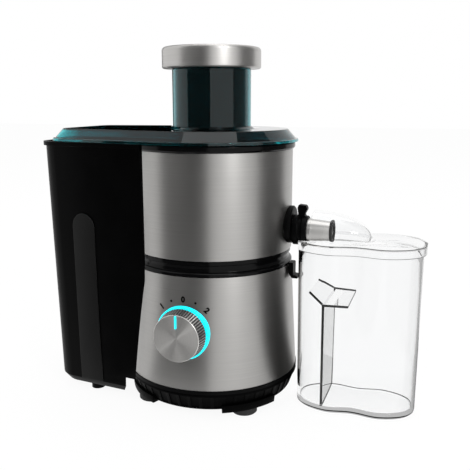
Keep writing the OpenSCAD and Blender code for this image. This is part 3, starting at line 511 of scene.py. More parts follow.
def rounded(corners, steps=5, closed=True):
    """A profile whose corners (a, b, radius) become arcs. An open one keeps its two ends."""
    out = []
    last = len(corners) - 1
    for i, (x, y, radius) in enumerate(corners):
        here = Vector((x, y))
        if radius == 0 or (not closed and i in (0, last)):
            out.append((x, y))
            continue
        before = Vector(corners[i - 1][:2]) - here
        after = Vector(corners[(i + 1) % len(corners)][:2]) - here
        half = before.angle(after) / 2
        reach = min(radius / math.tan(half), 0.48 * before.length, 0.48 * after.length)
        a, b = here + before.normalized() * reach, here + after.normalized() * reach
        for k in range(steps + 1):
            t = k / steps
            out.append(tuple((1 - t) ** 2 * a + 2 * t * (1 - t) * here + t * t * b))
    return out


def circle(radius, height, count):
    """A ring of points round local Z, from a radius and a height in mm."""
    ring = []
    for i in range(count):
        a = 2 * math.pi * i / count
        ring.append((radius * MM * math.cos(a), radius * MM * math.sin(a), height * MM))
    return ring


def level(pts, height):
    """An outline in mm as a ring of points at a height in mm."""
    return [(x * MM, y * MM, height * MM) for x, y in pts]


def lofted(name, rings, finish, place=None, closed=True, sharp=SHARP, caps=False):
    """Rings of points joined one to the next; the last joins the first if closed."""
    n = len(rings[0])
    verts = [v for ring in rings for v in ring]
    faces = []
    for k in range(len(rings) - (0 if closed else 1)):
        a, b = k * n, (k + 1) % len(rings) * n
        for i in range(n):
            j = (i + 1) % n
            faces.append((a + i, a + j, b + j, b + i))
    if caps:
        faces.append(tuple(range(n)))
        faces.append(tuple(reversed(range((len(rings) - 1) * n, len(rings) * n))))
    return piece(name, verts, faces, finish, place, sharp)


def turned(name, corners, finish, place, closed=True, count=180, steps=5):
    """A profile of corners (radius, height, rounding) in mm, turned about local Z."""
    rings = [circle(r, h, count) for r, h in rounded(corners, steps, closed)]
    return lofted(name, rings, finish, place, closed)


def slab(name, outline, half, height, finish):
    """An outline of (x, z) in mm, raised by a height in m and thickened by half to each side."""
    n = len(outline)
    verts = [(x * MM, y * MM, height + z * MM) for y in (-half, half) for x, z in outline]
    faces = [tuple(range(n)), tuple(range(n, 2 * n))]
    faces += [(i, (i + 1) % n, n + (i + 1) % n, n + i) for i in range(n)]
    return piece(name, verts, faces, finish, UP)


def bake_modifiers(obj):
    """The evaluated mesh becomes the object's own, and its modifiers go."""
    graph = bpy.context.evaluated_depsgraph_get()
    mesh = bpy.data.meshes.new_from_object(obj.evaluated_get(graph), depsgraph=graph)
    obj.modifiers.clear()
    obj.data = mesh
    mesh.name = obj.name


def soften(obj, width, steps, angle, sharp):
    """Edges that turn by more than an angle are rounded by a width in mm."""
    m = obj.modifiers.new("Edge", "BEVEL")
    m.width = width * MM
    m.segments = steps
    m.limit_method = "ANGLE"
    m.angle_limit = math.radians(angle)
    m.use_clamp_overlap = True
    bake_modifiers(obj)
    smooth(obj.data, sharp)


def cut(obj, cutter):
    """cutter is taken out of obj and removed."""
    m = obj.modifiers.new("Cut", "BOOLEAN")
    m.operation = "DIFFERENCE"
    m.solver = "EXACT"
    m.object = cutter
    bake_modifiers(obj)
    bpy.data.objects.remove(cutter)
    smooth(obj.data)


def from_frame(node, name, finish, edge=0.0, sharp=30.0, steps=2):
    """A copy of a CAD node, merged and smoothed, its edges softened."""
    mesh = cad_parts[node].data.copy()
    mesh.materials.clear()
    mesh.name = name
    with edited(mesh) as bm:
        bmesh.ops.remove_doubles(bm, verts=bm.verts, dist=2e-6)
        bmesh.ops.dissolve_degenerate(bm, edges=bm.edges, dist=1e-6)
        bmesh.ops.dissolve_limit(bm, angle_limit=math.radians(0.6), verts=bm.verts,
                                 edges=bm.edges)
    smooth(mesh, sharp)
    mesh.materials.append(FINISH[finish])
    obj = put(name, mesh)
    if edge:
        soften(obj, edge, steps, sharp, 50)
    return obj


def paint_dark_edges(obj, width, test=None):
    """The narrow faces of a clear piece, or those that pass a test, are painted near black:
    painted dark outlines, standing in for the reflections that darken clear plastic's edges.
    """
    obj.data.materials.append(FINISH["edge"])
    for face in obj.data.polygons:
        pts = [obj.data.vertices[v].co for v in face.vertices]
        longest = max((p - q).length for p, q in zip(pts, pts[1:] + pts[:1]))
        if (test(face) if test else face.area / longest < width * MM):
            face.material_index = 1


# --------------------------------------------------------------- repeated bits

def rows_tree(name, finish):
    """Small blocks in rows round an axis, each row with its own radius and height."""
    tree = bpy.data.node_groups.new(name, "GeometryNodeTree")
    for way, kind, labels in (
            ("INPUT", "Int", ("Per row", "Rows")),
            ("INPUT", "Float", ("Low radius", "High radius", "Low height", "High height",
                                "Shift per row", "Lean")),
            ("INPUT", "Vector", ("Size",)), ("OUTPUT", "Geometry", ("Geometry",))):
        for label in labels:
            tree.interface.new_socket(
                name=label, in_out=way, socket_type=f"NodeSocket{kind}")
    graph = Graph(tree)
    add, maths = graph.add, graph.maths
    given = add("NodeGroupInput").outputs
    index = add("GeometryNodeInputIndex").outputs[0]
    row = maths("FLOOR", maths("DIVIDE", maths("ADD", index, 0.5), given["Per row"]))
    step = maths("SUBTRACT", index, maths("MULTIPLY", row, given["Per row"]))
    share = maths("DIVIDE", row, maths("MAXIMUM", maths("SUBTRACT", given["Rows"], 1), 1))

    def between(low, high):
        rise = maths("SUBTRACT", given[high], given[low])
        return maths("ADD", given[low], maths("MULTIPLY", share, rise))

    turn = maths("ADD", maths("MULTIPLY", step, maths("DIVIDE", 2 * math.pi, given["Per row"])),
                 maths("MULTIPLY", row, given["Shift per row"]))
    radius = between("Low radius", "High radius")
    spot = add("ShaderNodeCombineXYZ", {
        0: maths("MULTIPLY", radius, maths("COSINE", turn)),
        1: maths("MULTIPLY", radius, maths("SINE", turn)),
        2: between("Low height", "High height")})
    points = add("GeometryNodePoints", {
        "Count": maths("MULTIPLY", given["Per row"], given["Rows"]),
        "Position": spot.outputs[0]})
    angles = add("ShaderNodeCombineXYZ", {1: given["Lean"], 2: turn})
    rotation = add("FunctionNodeEulerToRotation", {0: angles.outputs[0]})
    block = add("GeometryNodeMeshCube", {"Size": (1, 1, 1)})
    blocks = add("GeometryNodeInstanceOnPoints", {
        "Points": points.outputs[0], "Instance": block.outputs["Mesh"],
        "Rotation": rotation.outputs[0], "Scale": given["Size"]})
    real = add("GeometryNodeRealizeInstances", {0: blocks.outputs[0]})
    paint = add("GeometryNodeSetMaterial", {
        "Geometry": real.outputs[0], "Material": FINISH[finish]})
    add("NodeGroupOutput", {0: paint.outputs[0]})
    return tree


def repeated(name, tree, values, place):
    """The tree's result as a plain object in its place."""
    obj = put(name, bpy.data.meshes.new(name))
    m = obj.modifiers.new("Rows", "NODES")
    m.node_group = tree
    keys = {s.name: s.identifier for s in tree.interface.items_tree
            if s.item_type == "SOCKET" and s.in_out == "INPUT"}
    for label, value in values.items():
        m[keys[label]] = value
    bake_modifiers(obj)
    obj.data.transform(place)
    return obj


# ------------------------------------------------------- outlines of the plans

def arc(x, y, radius, start, sweep, steps):
    """Points along an arc round (x, y), with both its ends."""
    out = []
    for i in range(steps + 1):
        a = start + sweep * i / steps
        out.append((x + radius * math.cos(a), y + radius * math.sin(a)))
    return out


def drawn_out(big, reach, half_w, corner):
    """Corner points, in order, of a circle drawn out to two corners on the left, in mm."""
    cx, cy = -(reach - corner), half_w - corner
    turn = math.atan2(cy, cx) - math.acos((big - corner) / math.hypot(cx, cy))
    return (arc(0, 0, big, -turn, 2 * turn, 192) + arc(cx, cy, corner, turn, math.pi - turn, 64)
            + arc(cx, -cy, corner, math.pi, math.pi - turn, 64))


def by_arc(pts, count):
    """count points at even steps along a closed outline."""
    closed = pts + [pts[0]]
    run = [0.0]
    for p, q in zip(closed, closed[1:]):
        run.append(run[-1] + math.dist(p, q))
    out, k = [], 0
    for i in range(count):
        goal = run[-1] * i / count
        while run[k + 1] < goal:
            k += 1
        t = (goal - run[k]) / max(run[k + 1] - run[k], 1e-9)
        out.append(tuple(a + (b - a) * t for a, b in zip(closed[k], closed[k + 1])))
    return out


def jug_outline(half_l, half_w, pinch, count):
    """Long plan with round ends and a shallow waist in each side, in mm."""
    pts = []
    for i in range(720):
        c = math.cos(math.radians(i / 2))
        u = math.copysign(abs(c) ** 0.8, c)
        waist = 1 - pinch * max(0.0, math.cos(math.pi * u)) ** 2
        side = max(0.0, 1 - abs(u) ** 2.5) ** 0.4 * waist
        pts.append((half_l * u, math.copysign(half_w * side, math.sin(math.radians(i / 2)))))
    return by_arc(pts, count)


def match(base, pts, height):
    """Where the rays through the base outline's points meet another outline."""
    angles = sorted((math.atan2(y, x), math.hypot(x, y)) for x, y in pts)
    first, last = angles[0], angles[-1]
    angles = ([(last[0] - 2 * math.pi, last[1])] + angles
              + [(first[0] + 2 * math.pi, first[1])])
    ring = []
    for x, y in base:
        a = math.atan2(y, x)
        k = next(i for i in range(len(angles) - 1) if angles[i + 1][0] >= a)
        (a0, r0), (a1, r1) = angles[k], angles[k + 1]
        t = (a - a0) / max(a1 - a0, 1e-9)
        # the straight line between two outline points, met at angle a
        p = Vector((r0 * math.cos(a0), r0 * math.sin(a0)))
        q = Vector((r1 * math.cos(a1), r1 * math.sin(a1)))
        d = Vector((math.cos(a), math.sin(a)))
        side = q - p
        cross = d.x * side.y - d.y * side.x
        r = (p.x * side.y - p.y * side.x) / cross if abs(cross) > 1e-9 else r0 + (r1 - r0) * t
        ring.append((r * MM * d.x, r * MM * d.y, height * MM))
    return ring


def between_rings(a, b, t):
    return [tuple(p + (q - p) * t for p, q in zip(u, v)) for u, v in zip(a, b)]


# ------------------------------------------------------------------- the parts

class JUICER_OT_stage(bpy.types.Operator):
    """Floor, world, lamps, dark cards for the steel to reflect, and the camera"""

    bl_idname = "juicer.stage"
    bl_label = "Stage"

    def execute(self, context):
        scene = context.scene
        scene.view_settings.view_transform = "Standard"
        world = bpy.data.worlds.new("Studio")
        scene.world = world
        world.use_nodes = True
        graph = Graph(world.node_tree)
        soft = graph.nodes["Background"]
        graph.feed(soft.inputs, {"Color": (1, 1, 1), "Strength": 0.8})
        white = graph.add("ShaderNodeBackground", {"Color": (1, 1, 1), "Strength": 1.0})
        seen = graph.seen("Is Camera Ray", "Is Glossy Ray", "Is Transmission Ray")
        graph.surface("World Output", seen, soft, white)
        self.floor()
        self.cards()
        self.lamps()
        self.camera(scene)
        return {"FINISHED"}

    def floor(self):
        mesh = bpy.data.meshes.new("Floor")
        s = 6.0
        mesh.from_pydata([(-s, -s, 0), (s, -s, 0), (s, s, 0), (-s, s, 0)], [], [(0, 1, 2, 3)])
        look = Look("FloorPaint")
        look.give({"Base Color": (0.93, 0.93, 0.93), "Roughness": 0.9, "Specular IOR Level": 0.0})
        bright = look.add("ShaderNodeEmission", {"Strength": 1.0})
        seen = look.seen("Is Camera Ray", "Is Transmission Ray", "Is Glossy Ray")
        look.surface("Material Output", look.maths("MULTIPLY", seen, 0.93), look.shader, bright)
        mesh.materials.append(look.mat)
        put("Floor", mesh)

    def card_paint(self, name, grey):
        """Matt paint that shows in reflections alone, and half as much through clear plastic."""
        look = Look(name)
        look.give({"Base Color": (grey, grey, grey), "Specular IOR Level": 0})
        gone = look.add("ShaderNodeBsdfTransparent")
        path = look.add("ShaderNodeLightPath").outputs
        reflected = look.maths("GREATER_THAN", path["Glossy Depth"], 0.5)
        part = look.ramp(path["Transmission Depth"], 0.0, 1.0, 1.0, 0.5)
        look.surface("Material Output", look.maths("MULTIPLY", reflected, part), gone,
                     look.shader)
        return look.mat

    def cards(self):
        """Dark cards that only reflections meet."""
        paints = {name: self.card_paint(name, grey) for name, grey in CARD_PAINTS.items()}
        steps = 16
        for k, (first, last, paint, edges) in enumerate(CARDS):
            verts, faces = [], []
            n = len(edges)
            for i in range(steps + 1):
                a = math.radians(CAMERA_SIDE - 90 + first + (last - first) * i / steps)
                for out, z in edges:
                    verts.append((AXIS.x + out * math.cos(a), AXIS.y + out * math.sin(a), z))
            for i in range(steps):
                for j in range(n * i, n * i + n - 1):
                    faces.append((j, j + n, j + n + 1, j + 1))
            mesh = bpy.data.meshes.new(f"DarkCard{k}")
            mesh.from_pydata(verts, [], faces)
            mesh.materials.append(paints[paint])
            card = put(f"DarkCard{k}", mesh)
            card.visible_camera = False
            card.visible_diffuse = False
            card.visible_shadow = False

    def lamps(self):
        for name, spot, size, power in LAMPS:
            data = bpy.data.lights.new(name, "AREA")
            data.size = size
            data.energy = power
            lamp = put(name, data)
            lamp.location = spot
            aim = LAMP_AIM - Vector(spot)
            lamp.rotation_euler = aim.to_track_quat("-Z", "Y").to_euler()

    def camera(self, scene):
        data = bpy.data.cameras.new("Camera")
        data.sensor_width = CAMERA_SENSOR
        data.lens = CAMERA_LENS
        cam = put("Camera", data)
        cam.location = CAMERA_SPOT
        cam.rotation_euler = (math.radians(90 - CAMERA_DOWN), 0, math.radians(CAMERA_SIDE))
        scene.camera = cam


class JUICER_OT_sleeves(bpy.types.Operator):
    """Brushed steel sleeves of the base and the bowl, and the cap of the pusher"""

    bl_idname = "juicer.sleeves"
    bl_label = "Steel sleeves"

    def execute(self, context):
        self.sleeve("Base", BASE, BASE_LOW_R, BASE_HIGH_R, ("DialHole", 22.5, FRONT, 96))
        self.sleeve("Bowl", SLEEVE, BOWL_R, BOWL_R, ("SpoutHole", 11.2, SIDE, 64))
        low, high = heights(CAP)
        edge = sizes().cap_edge / MM
        cap = turned("PusherCap", [
            (0, low, 0), (41.2, low, 0.4), (42, low + 1.0, 0.8), (42, high, edge),
            (0, high, 0)], "brushed_cap", UP, closed=False, count=200, steps=8)
        settle(cap, "pusher", "brushed_steel", "pusher_cap")
        return {"FINISHED"}

    def sleeve(self, name, box, low_r, high_r, opening):
        """A steel sleeve with a round opening (name, radius, place, count) in its side."""
        low, high = heights(box)
        sleeve = turned(f"{name}Sleeve", [
            (low_r - SHEET, low, 0), (low_r, low, 0.3), (high_r, high, 0.3),
            (high_r - SHEET, high, 0)], "brushed_round", UP, count=256)
        label, radius, place, count = opening
        near, far = 50, 90
        cut(sleeve, turned(label, [
            (0, near, 0), (radius, near, 0), (radius, far, 0), (0, far, 0)], "black", place,
            closed=False, count=count))
        settle(sleeve, "base", "brushed_steel", f"{name.lower()}_sleeve")


class JUICER_OT_bands(bpy.types.Operator):
    """Black waist with the jug's catch, and the black rim under the lid"""

    bl_idname = "juicer.bands"
    bl_label = "Black bands"

    def execute(self, context):
        low, high = WAIST_LOW, WAIST_HIGH
        step = (high - low) / 4
        waist = turned("WaistRing", [
            (58, low, 0), (70.5, low, 0.4), (70.5, low + step - 1, 0.8), (69.4, low + step, 0.6),
            (67.9, low + step + 0.6, 0.9), (67.5, low + 2 * step, 1.2),
            (67.8, low + 3 * step - 0.6, 0.9), (69.2, low + 3 * step, 0.4),
            (69.2, high, 0.5), (58, high, 0)], "gloss", UP, count=220)
        settle(waist, "base", "gloss_black")
        low, high = heights(RIM)
        rim = turned("BowlRim", [
            (66.6, low, 0), (70.8, low, 0.5), (72, low + 1.4, 0.8),
            (72, high - 1.0, 0.9), (71, high, 0.6), (66.6, high, 0)], "gloss", UP, count=220)
        settle(rim, "base", "gloss_black", "bowl_rim")
        # upright tongue on the waist with a hook at its foot
        catch = slab("JugCatch", rounded([
            (70.9, 123.6, 0.3), (75.0, 123.6, 1.2), (75.0, 112.6, 1.0), (77.2, 112.6, 0.6),
            (79.0, 111.4, 0.6), (79.0, 109.9, 0.6), (74.0, 109.9, 0.8), (71.4, 113.0, 0.5)],
            steps=4), 5, 0, "black")
        settle(catch, "base", "gloss_black", "waist_ring")
        return {"FINISHED"}


class JUICER_OT_lid(bpy.types.Operator):
    """Tinted lid with its flange and dome, and the feed chute"""

    bl_idname = "juicer.lid"
    bl_label = "Lid and chute"

    def execute(self, context):
        base = by_arc(drawn_out(LID_R, LID_REACH, LID_HALF_W, CORNER), 260)

        def outline(inset, height):
            pts = drawn_out(LID_R - inset, LID_REACH - inset, LID_HALF_W - inset,
                            max(CORNER - inset, 6.0))
            return match(base, pts, height)

        def round_chute(gap, height):
            ring = []
            for x, y in base:
                share = (CHUTE_R + gap) * MM / math.hypot(x, y)
                ring.append((share * x, share * y, height * MM))
            return ring

        low, high = heights(LID)
        # the fillet at the chute's foot rises above the flat of the dome
        high -= 2.0
        edge = sizes().lid_edge / MM
        outside = rounded([
            (0.0, low, 0), (0.0, low + 2.2, 0.7), (2.0, low + 2.2, 0.5), (9.0, high, edge),
            (13.0, high, 0)], closed=False)
        under = rounded([
            (14.0, high - 2, 0), (10.6, high - 2, 1.0), (4.2, low + 2.0, 0.8), (4.0, low, 0)],
            closed=False)
        rings = [outline(i, h) for i, h in outside]
        rings += [between_rings(outline(13, high), round_chute(3.2, high), t)
                  for t in (0.35, 0.7, 1.0)]
        rings += [round_chute(gap, high + rise) for gap, rise in (
            (2.6, 0.3), (0.9, 1.8), (0.5, 2.0), (0.2, 2.0), (0.2, -2))]
        rings += [between_rings(round_chute(0.2, high - 2), outline(14, high - 2), t)
                  for t in (0.35, 0.7)]
        rings += [outline(i, h) for i, h in under]
        lid = lofted("LidDome", rings, "tint_lid", UP, sharp=40)
        # the lid's foot band takes a brighter teal than the lid: a painted glow along its edge
        lid.data.materials.append(FINISH["tint_edge"])
        for face in lid.data.polygons:
            if face.center.z < LID[0].z + 2.1 * MM and abs(face.normal.z) < 0.8:
                face.material_index = 1
        settle(lid, "lid", "teal_plastic", "lid_shell")
        low, high = heights(CHUTE)
        chute = turned("FeedChute", [
            (CHUTE_R - CHUTE_WALL, low, 0.6), (CHUTE_R, low, 0.6), (CHUTE_R, high, 0.9),
            (CHUTE_R - CHUTE_WALL, high, 0.9)], "tint", UP, count=160)
        settle(chute, "lid", "teal_plastic", "feed_chute")
        return {"FINISHED"}


class JUICER_OT_pusher(bpy.types.Operator):
    """Dark pusher inside the chute"""

    bl_idname = "juicer.pusher"
    bl_label = "Pusher"

    def execute(self, context):
        low, high = heights(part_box("pusher_body"))
        body = turned("PusherBody", [
            (0, low + 1.2, 0), (6, low + 1.2, 0), (8, low, 0.5), (28.8, low, 1.2),
            (30.8, low + 3, 1.0), (30.8, high, 0.3), (28.8, high, 0), (28.8, low + 4, 1.5),
            (0, low + 4, 0)], "gloss", UP, closed=False, count=160)
        settle(body, "pusher", "gloss_black", "pusher_body")
        return {"FINISHED"}


class JUICER_OT_dial(bpy.types.Operator):
    """Light ring, ribbed knob with its spun face and pointer, and the marks round it"""

    bl_idname = "juicer.dial"
    bl_label = "Dial"

    def execute(self, context):
        front = AXIS.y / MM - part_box("light_ring")[0].y / MM
        ring = turned("LightRing", [
            (19.0, front - 7, 0), (22.4, front - 7, 0), (22.4, front, 0.6), (19.6, front, 0.5),
            (19.0, front - 1.5, 0.3)], "glow", FRONT, count=160)
        # its light stays off the steel round it
        ring.visible_glossy = False
        ring.visible_diffuse = False
        settle(ring, "base", "light", "light_ring")
        back = front + 0.3
        knob = turned("KnobBody", [
            (3.01, back, 0), (20.6, back, 0.4), (18.9, back + 11.4, 0.3),
            (18.9, back + 12.0, 0), (3.01, back + 12.0, 0)], "switch", FRONT)
        ribs = repeated("KnobRibs", rows_tree("KnobRibRows", "knob"), {
            "Per row": sizes().knob_ribs, "Rows": 1,
            "Low radius": 19.8 * MM, "High radius": 19.8 * MM,
            "Low height": (back + 6.2) * MM, "High height": (back + 6.2) * MM,
            "Lean": math.atan2(-1.7, 11.4), "Size": (0.9 * MM, 0.9 * MM, 11.6 * MM)}, FRONT)
        settle(ribs, "dial", "switch_plastic")
        settle(knob, "dial", "switch_plastic", "knob_body")
        face = turned("KnobFace", [
            (0, back + 12.02, 0), (19.4, back + 12.02, 0.2), (19.6, back + 12.4, 0.2),
            (19.2, back + 13.0, 0.3), (0, back + 13.0, 0)], "spun", FRONT, closed=False,
            count=160)
        settle(face, "dial", "brushed_steel", "knob_face")
        outline = rounded([(-0.75, 8.4, 0.2), (0.75, 8.4, 0.2), (0.75, 18.9, 0.2),
                           (-0.75, 18.9, 0.2)], 4)
        bar = lofted("KnobPointer", [level(outline, back + h) for h in (13.02, 13.5)],
                     "pointer", FRONT, closed=False, caps=True)
        settle(bar, "dial", "light", "knob_pointer")
        marks = [self.mark(k, *values) for k, values in enumerate((
            ("1", -45), (None, -22.5), ("0", 0), (None, 22.5), ("2", 45)))]
        settle(join("DialMarks", marks), "base", "gloss_black")
        return {"FINISHED"}

    def mark(self, k, label, degrees):
        """A number, or a dot for None, laid on the sleeve at an angle round the dial."""
        name = f"Mark{k}"
        if label is None:
            mark = lofted(name, [circle(DOT_R, h, 20) for h in (0, 2 * MARK_HALF)], "ink_and_hole_shade",
                          closed=False, caps=True)
        else:
            curve = bpy.data.curves.new(name, "FONT")
            curve.body = label
            curve.size = MARK_SIZE * MM
            curve.align_x = "CENTER"
            curve.align_y = "CENTER"
            curve.extrude = MARK_HALF * MM
            curve.offset = MARK_BOLD * MM
            curve.resolution_u = 8
            text = put(name, curve)
            graph = bpy.context.evaluated_depsgraph_get()
            mesh = bpy.data.meshes.new_from_object(text.evaluated_get(graph), depsgraph=graph)
            mesh.transform(Matrix.Translation((0, 0, MARK_HALF * MM)))
            bpy.data.objects.remove(text)
            mesh.materials.clear()
            mesh.materials.append(FINISH["ink_and_hole_shade"])
            mark = put(name, mesh)
        mark.data.transform(Matrix.Rotation(math.radians(-degrees), 4, "Z")
                            @ Matrix.Translation((0, MARK_R * MM, 0)))
        for v in mark.data.vertices:
            # local x, y and height above the sleeve become a place on the sleeve's cone
            x, z, lift = v.co.x, DIAL_Z + v.co.y, v.co.z
            share = (z - BASE[0].z) / (BASE[1].z - BASE[0].z)
            cone = (BASE_LOW_R + (BASE_HIGH_R - BASE_LOW_R) * share) * MM
            radius = cone + MARK_GAP * MM + lift
            v.co = Vector((AXIS.x + x, AXIS.y - math.sqrt(radius * radius - x * x), z))
        return mark


class JUICER_OT_bin(bpy.types.Operator):
    """Black pulp container with its lip, and the soft strip on its front"""

    bl_idname = "juicer.bin"
    bl_label = "Pulp container"

    def execute(self, context):
        wall = from_frame("pulp_container", "PulpContainer", "bin", edge=0.8, sharp=28, steps=3)
        # the steel beside it stays bright
        wall.visible_glossy = False
        settle(wall, "pulp_bin", "black_housing", "pulp_container")
        strip = from_frame("pulp_grip", "PulpGrip", "grip", edge=0.5, sharp=40)
        settle(strip, "pulp_bin", "soft_grip", "pulp_grip")
        return {"FINISHED"}


class JUICER_OT_spout(bpy.types.Operator):
    """Boss, steel tube with its seal, and the drip-stop collar with its lever"""

    bl_idname = "juicer.spout"
    bl_label = "Spout"

    def execute(self, context):
        boss = from_frame("spout_boss", "SpoutBoss", "black", edge=0.4)
        settle(boss, "base", "gloss_black", "spout_boss")
        start, bend, end = (SPOUT[0].x - AXIS.x) / MM, 87.3, (SPOUT[1].x - AXIS.x) / MM
        tube = turned("SpoutTube", [
            (9.2, start, 0), (10.2, start, 0.2), (10.2, bend, 2.0), (8.4, end, 0.2),
            (7.4, end, 0.2), (9.2, bend, 2.0)], "brushed_tube", SIDE, count=128)
        settle(tube, "base", "brushed_steel", "spout_tube")
        seal = turned("SpoutSeal", [
            (8.6, end - 0.4, 0.05), (9.2, end - 0.4, 0.1), (9.8, end + 0.6, 0.2),
            (9.8, end + 2.0, 0.3), (7.2, end + 2.2, 0.3), (7.2, end + 0.2, 0),
            (8.6, end + 0.2, 0)], "seal", SIDE, count=96)
        settle(seal, "base", "seal", "spout_seal")
        settle(self.collar(), "drip_stop", "gloss_black", "drip_collar")
        return {"FINISHED"}

    def collar(self):
        """Ribbed ring round the tube with a thumb lever on top."""
        lo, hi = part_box("drip_collar")
        a, b = (lo.x - AXIS.x) / MM, (hi.x - AXIS.x) / MM
        out = (hi.y - lo.y) / 2 / MM
        top = (hi.z - SPOUT_Z) / MM
        ring = turned("DripRing", [
            (10.35, a, 0.2), (out, a, 0.5), (out, a + 4.4, 0.4), (out - 0.8, a + 5.2, 0.3),
            (out - 0.8, a + 7.4, 0.3), (out, a + 8.2, 0.4), (out - 0.5, b - 0.6, 0.5),
            (out - 1.1, b, 0.3), (10.35, b, 0.2)], "black", SIDE, count=128)
        lever = slab("DripLever", rounded([
            (b - 9.6, out - 1.5, 0), (b - 8.6, out + 1.2, 1.5), (b - 9.4, top - 3.0, 1.2),
            (b - 8.4, top, 1.4), (b - 1.8, top - 0.6, 2.2), (b - 0.8, top - 4.0, 2.0),
            (b - 3.2, out + 1.0, 2.0), (b - 2.0, out - 1.5, 0)], steps=6), 3, SPOUT_Z, "black")
        return join("DripCollar", [ring, lever])


class JUICER_OT_jug(bpy.types.Operator):
    """Clear jug, its lid with the hood over the spout, and the froth separator"""

    bl_idname = "juicer.jug"
    bl_label = "Juice jug"

    def execute(self, context):
        # none of the three shows in the steel's mirror image
        for build in (self.jug, self.froth, self.lid):
            build().visible_glossy = False
        return {"FINISHED"}

    def jug(self):
        """Pinched jug that widens upward. Its foot and its brim are painted dark, for the dark
        outlines of clear plastic there.
        """
        def wall(inset, height, share=None):
            t = height / JUG_HIGH if share is None else share
            return level(jug_outline(JUG_HALF_L + t - inset, JUG_HALF_W + 4.5 * t - inset,
                                     JUG_PINCH, 240), height)

        # outside from the foot up, over the brim, and down the inside
        foot = ((3.0, 0.3), (2.2, 0.35), (1.9, 0.8), (1.8, 1.6), (0.6, 2.0), (0.15, 2.5), (0, 3.4))
        up = ((0, 20), (0, 50), (0, 80), (0, 110), (0, 134), (0, 138.0), (0.25, 138.4),
              (0.7, 138.5), (1.4, 138.5), (1.8, 138.3), (2.0, 137.8))
        down = ((2.0, 110), (2.0, 80), (2.0, 50), (2.0, 20))
        bottom = ((2.0, 8.0), (2.3, 6.4), (3.2, 5.4), (4.6, 5.0))
        rings = [wall(inset, h, 0) for inset, h in foot]
        rings += [wall(inset, h) for inset, h in up + down]
        rings += [wall(inset, h, 0) for inset, h in bottom]
        jug = lofted("JugBody", rings, "clear", ON_JUG, closed=False, sharp=50)
        with edited(jug.data) as bm:
            holes = [e for e in bm.edges if e.is_boundary]
            bmesh.ops.holes_fill(bm, edges=holes, sides=0)
            bmesh.ops.recalc_face_normals(bm, faces=bm.faces)
        # painted dark outlines at the brim and the foot
        paint_dark_edges(jug, 0, lambda f: (f.center.z > 138.35 * MM
                                      or 2.05 * MM < f.center.z < 3.1 * MM))
        settle(jug, "jug", "clear_plastic", "jug_body")
        return jug

    def froth(self):
        """Upright plate with two wings, which are seen through more than the plate."""
        froth = from_frame("froth_separator", "FrothSeparator", "plate")
        # its narrow faces are painted dark, as outlines
        paint_dark_edges(froth, 2.4)
        froth.data.materials.append(FINISH["wing"])
        for face in froth.data.polygons:
            if face.material_index == 0 and abs(face.normal.z) > 0.3:
                face.material_index = 2
        settle(froth, "jug", "clear_plastic", "froth_separator")
        return froth

    def lid(self):
        """Jug lid with a painted dark line round the foot and another at the top of its outer
        wall.
        """
        lid = from_frame("jug_lid", "JugLid", "clear", edge=0.5, sharp=35)
        low = JUG_LID[0].z
        # painted dark outline round the foot
        paint_dark_edges(lid, 0, lambda f: f.center.z < low + 0.4 * MM)
        # painted dark line at the top of the outer wall, on the faces that look outward
        lid.data.materials.append(FINISH["rim"])
        centre = (JUG_BOX[0] + JUG_BOX[1]) / 2
        for face in lid.data.polygons:
            away = face.center - centre
            if (abs(face.normal.z) < 0.3 and face.center.z < low + 7.75 * MM
                    and away.x * face.normal.x + away.y * face.normal.y > 0
                    and (away.x / 50) ** 2 + (away.y / 28) ** 2 > 0.7 * MM ** 2):
                face.material_index = 2
        settle(lid, "jug_lid", "clear_plastic", "jug_lid")
        return lid


class JUICER_OT_basket(bpy.types.Operator):
    """Perforations of the sieve, drawn as black blocks on the steel: painted shade in place of
    holes.
    """

    bl_idname = "juicer.basket"
    bl_label = "Filter basket"

    def execute(self, context):
        lo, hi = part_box("sieve")
        s = sizes()
        low_r, high_r = 34.0, 58.0
        # black blocks stand in for the holes: painted shade
        holes = repeated("SievePerforations", rows_tree("SieveRows", "ink_and_hole_shade"), {
            "Per row": s.sieve_holes, "Rows": s.sieve_rows,
            "Low radius": (low_r + 1.0) * MM, "High radius": (high_r - 1.6) * MM,
            "Low height": lo.z + 3 * MM, "High height": hi.z - 9.5 * MM,
            "Shift per row": math.pi / s.sieve_holes,
            "Lean": math.atan2(high_r - low_r, (hi.z - lo.z) / MM),
            "Size": (0.1 * MM, 0.9 * MM, 0.9 * MM)}, UP)
        settle(holes, "rotor", "sieve_steel")
        return {"FINISHED"}


class JUICER_OT_foot(bpy.types.Operator):
    """Fluted bottom cover with its pods, which are half as deep as the CAD's"""

    bl_idname = "juicer.foot"
    bl_label = "Bottom cover"

    def execute(self, context):
        cover = from_frame("bottom_cover", "BottomCover", "cover")
        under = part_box("bottom_cover")[0].z + 5 * MM
        for v in cover.data.vertices:
            if v.co.z < under - 0.1 * MM:
                v.co.z = under - (under - v.co.z) * 0.5
        soften(cover, 0.5, 2, 40, 40)
        settle(cover, "base", "black_housing", "bottom_cover")
        return {"FINISHED"}


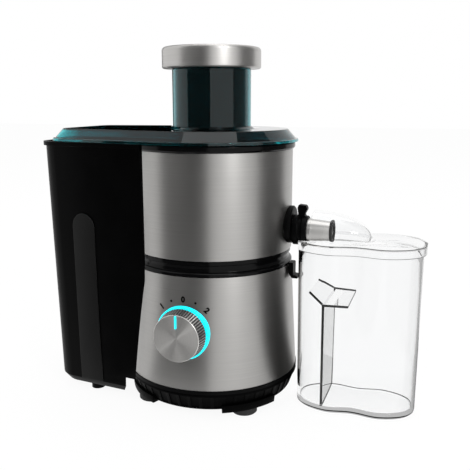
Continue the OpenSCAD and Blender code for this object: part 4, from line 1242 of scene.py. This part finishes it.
class JUICER_OT_kept(bpy.types.Operator):
    """Finishes for the CAD nodes that stay as they are"""

    bl_idname = "juicer.kept"
    bl_label = "Inner parts"

    finishes = {
        "black": "base_shell juice_bowl bowl_floor basket_hub basket_rim",
        "rubber": "rubber_feet cord_inlet motor_grommets",
        "screw": "bottom_screws motor_screws",
        "board": "light_board",
        "switch": "rotary_switch safety_switch drive_coupling",
        "lamination": "motor_stator armature",
        "copper": "motor_coils commutator",
        "zinc": "upper_bracket lower_bracket",
        "bright": "upper_bearing lower_bearing motor_shaft knob_spindle",
        "brush_brown": "brush_holders",
        "seal": "shaft_seal",
        "nylon": "cooling_fan",
        "sieve": "sieve grater_disc",
    }

    def execute(self, context):
        for finish, nodes in self.finishes.items():
            for node in nodes.split():
                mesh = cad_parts[node].data
                mesh.materials.clear()
                mesh.materials.append(FINISH[finish])
        return {"FINISHED"}


class JUICER_PT_panel(bpy.types.Panel):
    """The juicer's sizes, colours and steps"""

    bl_idname = "JUICER_PT_panel"
    bl_label = "Juicer"
    bl_space_type = "VIEW_3D"
    bl_region_type = "UI"
    bl_category = "Juicer"

    def draw(self, context):
        for group in (context.scene.juicer_sizes, context.scene.juicer_colours):
            for key in type(group).__annotations__:
                self.layout.prop(group, key)
        for step in STEPS:
            self.layout.operator(step.bl_idname)


STEPS = (JUICER_OT_stage, JUICER_OT_sleeves, JUICER_OT_bands, JUICER_OT_lid, JUICER_OT_pusher,
         JUICER_OT_dial, JUICER_OT_bin, JUICER_OT_spout, JUICER_OT_jug, JUICER_OT_basket,
         JUICER_OT_foot, JUICER_OT_kept)
CLASSES = (JuicerSizes, JuicerColours, *STEPS, JUICER_PT_panel)


def register():
    for cls in CLASSES:
        bpy.utils.register_class(cls)
    bpy.types.Scene.juicer_sizes = PointerProperty(type=JuicerSizes)
    bpy.types.Scene.juicer_colours = PointerProperty(type=JuicerColours)


def unregister():
    del bpy.types.Scene.juicer_colours
    del bpy.types.Scene.juicer_sizes
    for cls in reversed(CLASSES):
        bpy.utils.unregister_class(cls)


def main():
    register()
    FINISH.update(make_finishes())
    for step in STEPS:
        group, call = step.bl_idname.split(".")
        getattr(getattr(bpy.ops, group), call)()


if __name__ == "__main__":
    main()
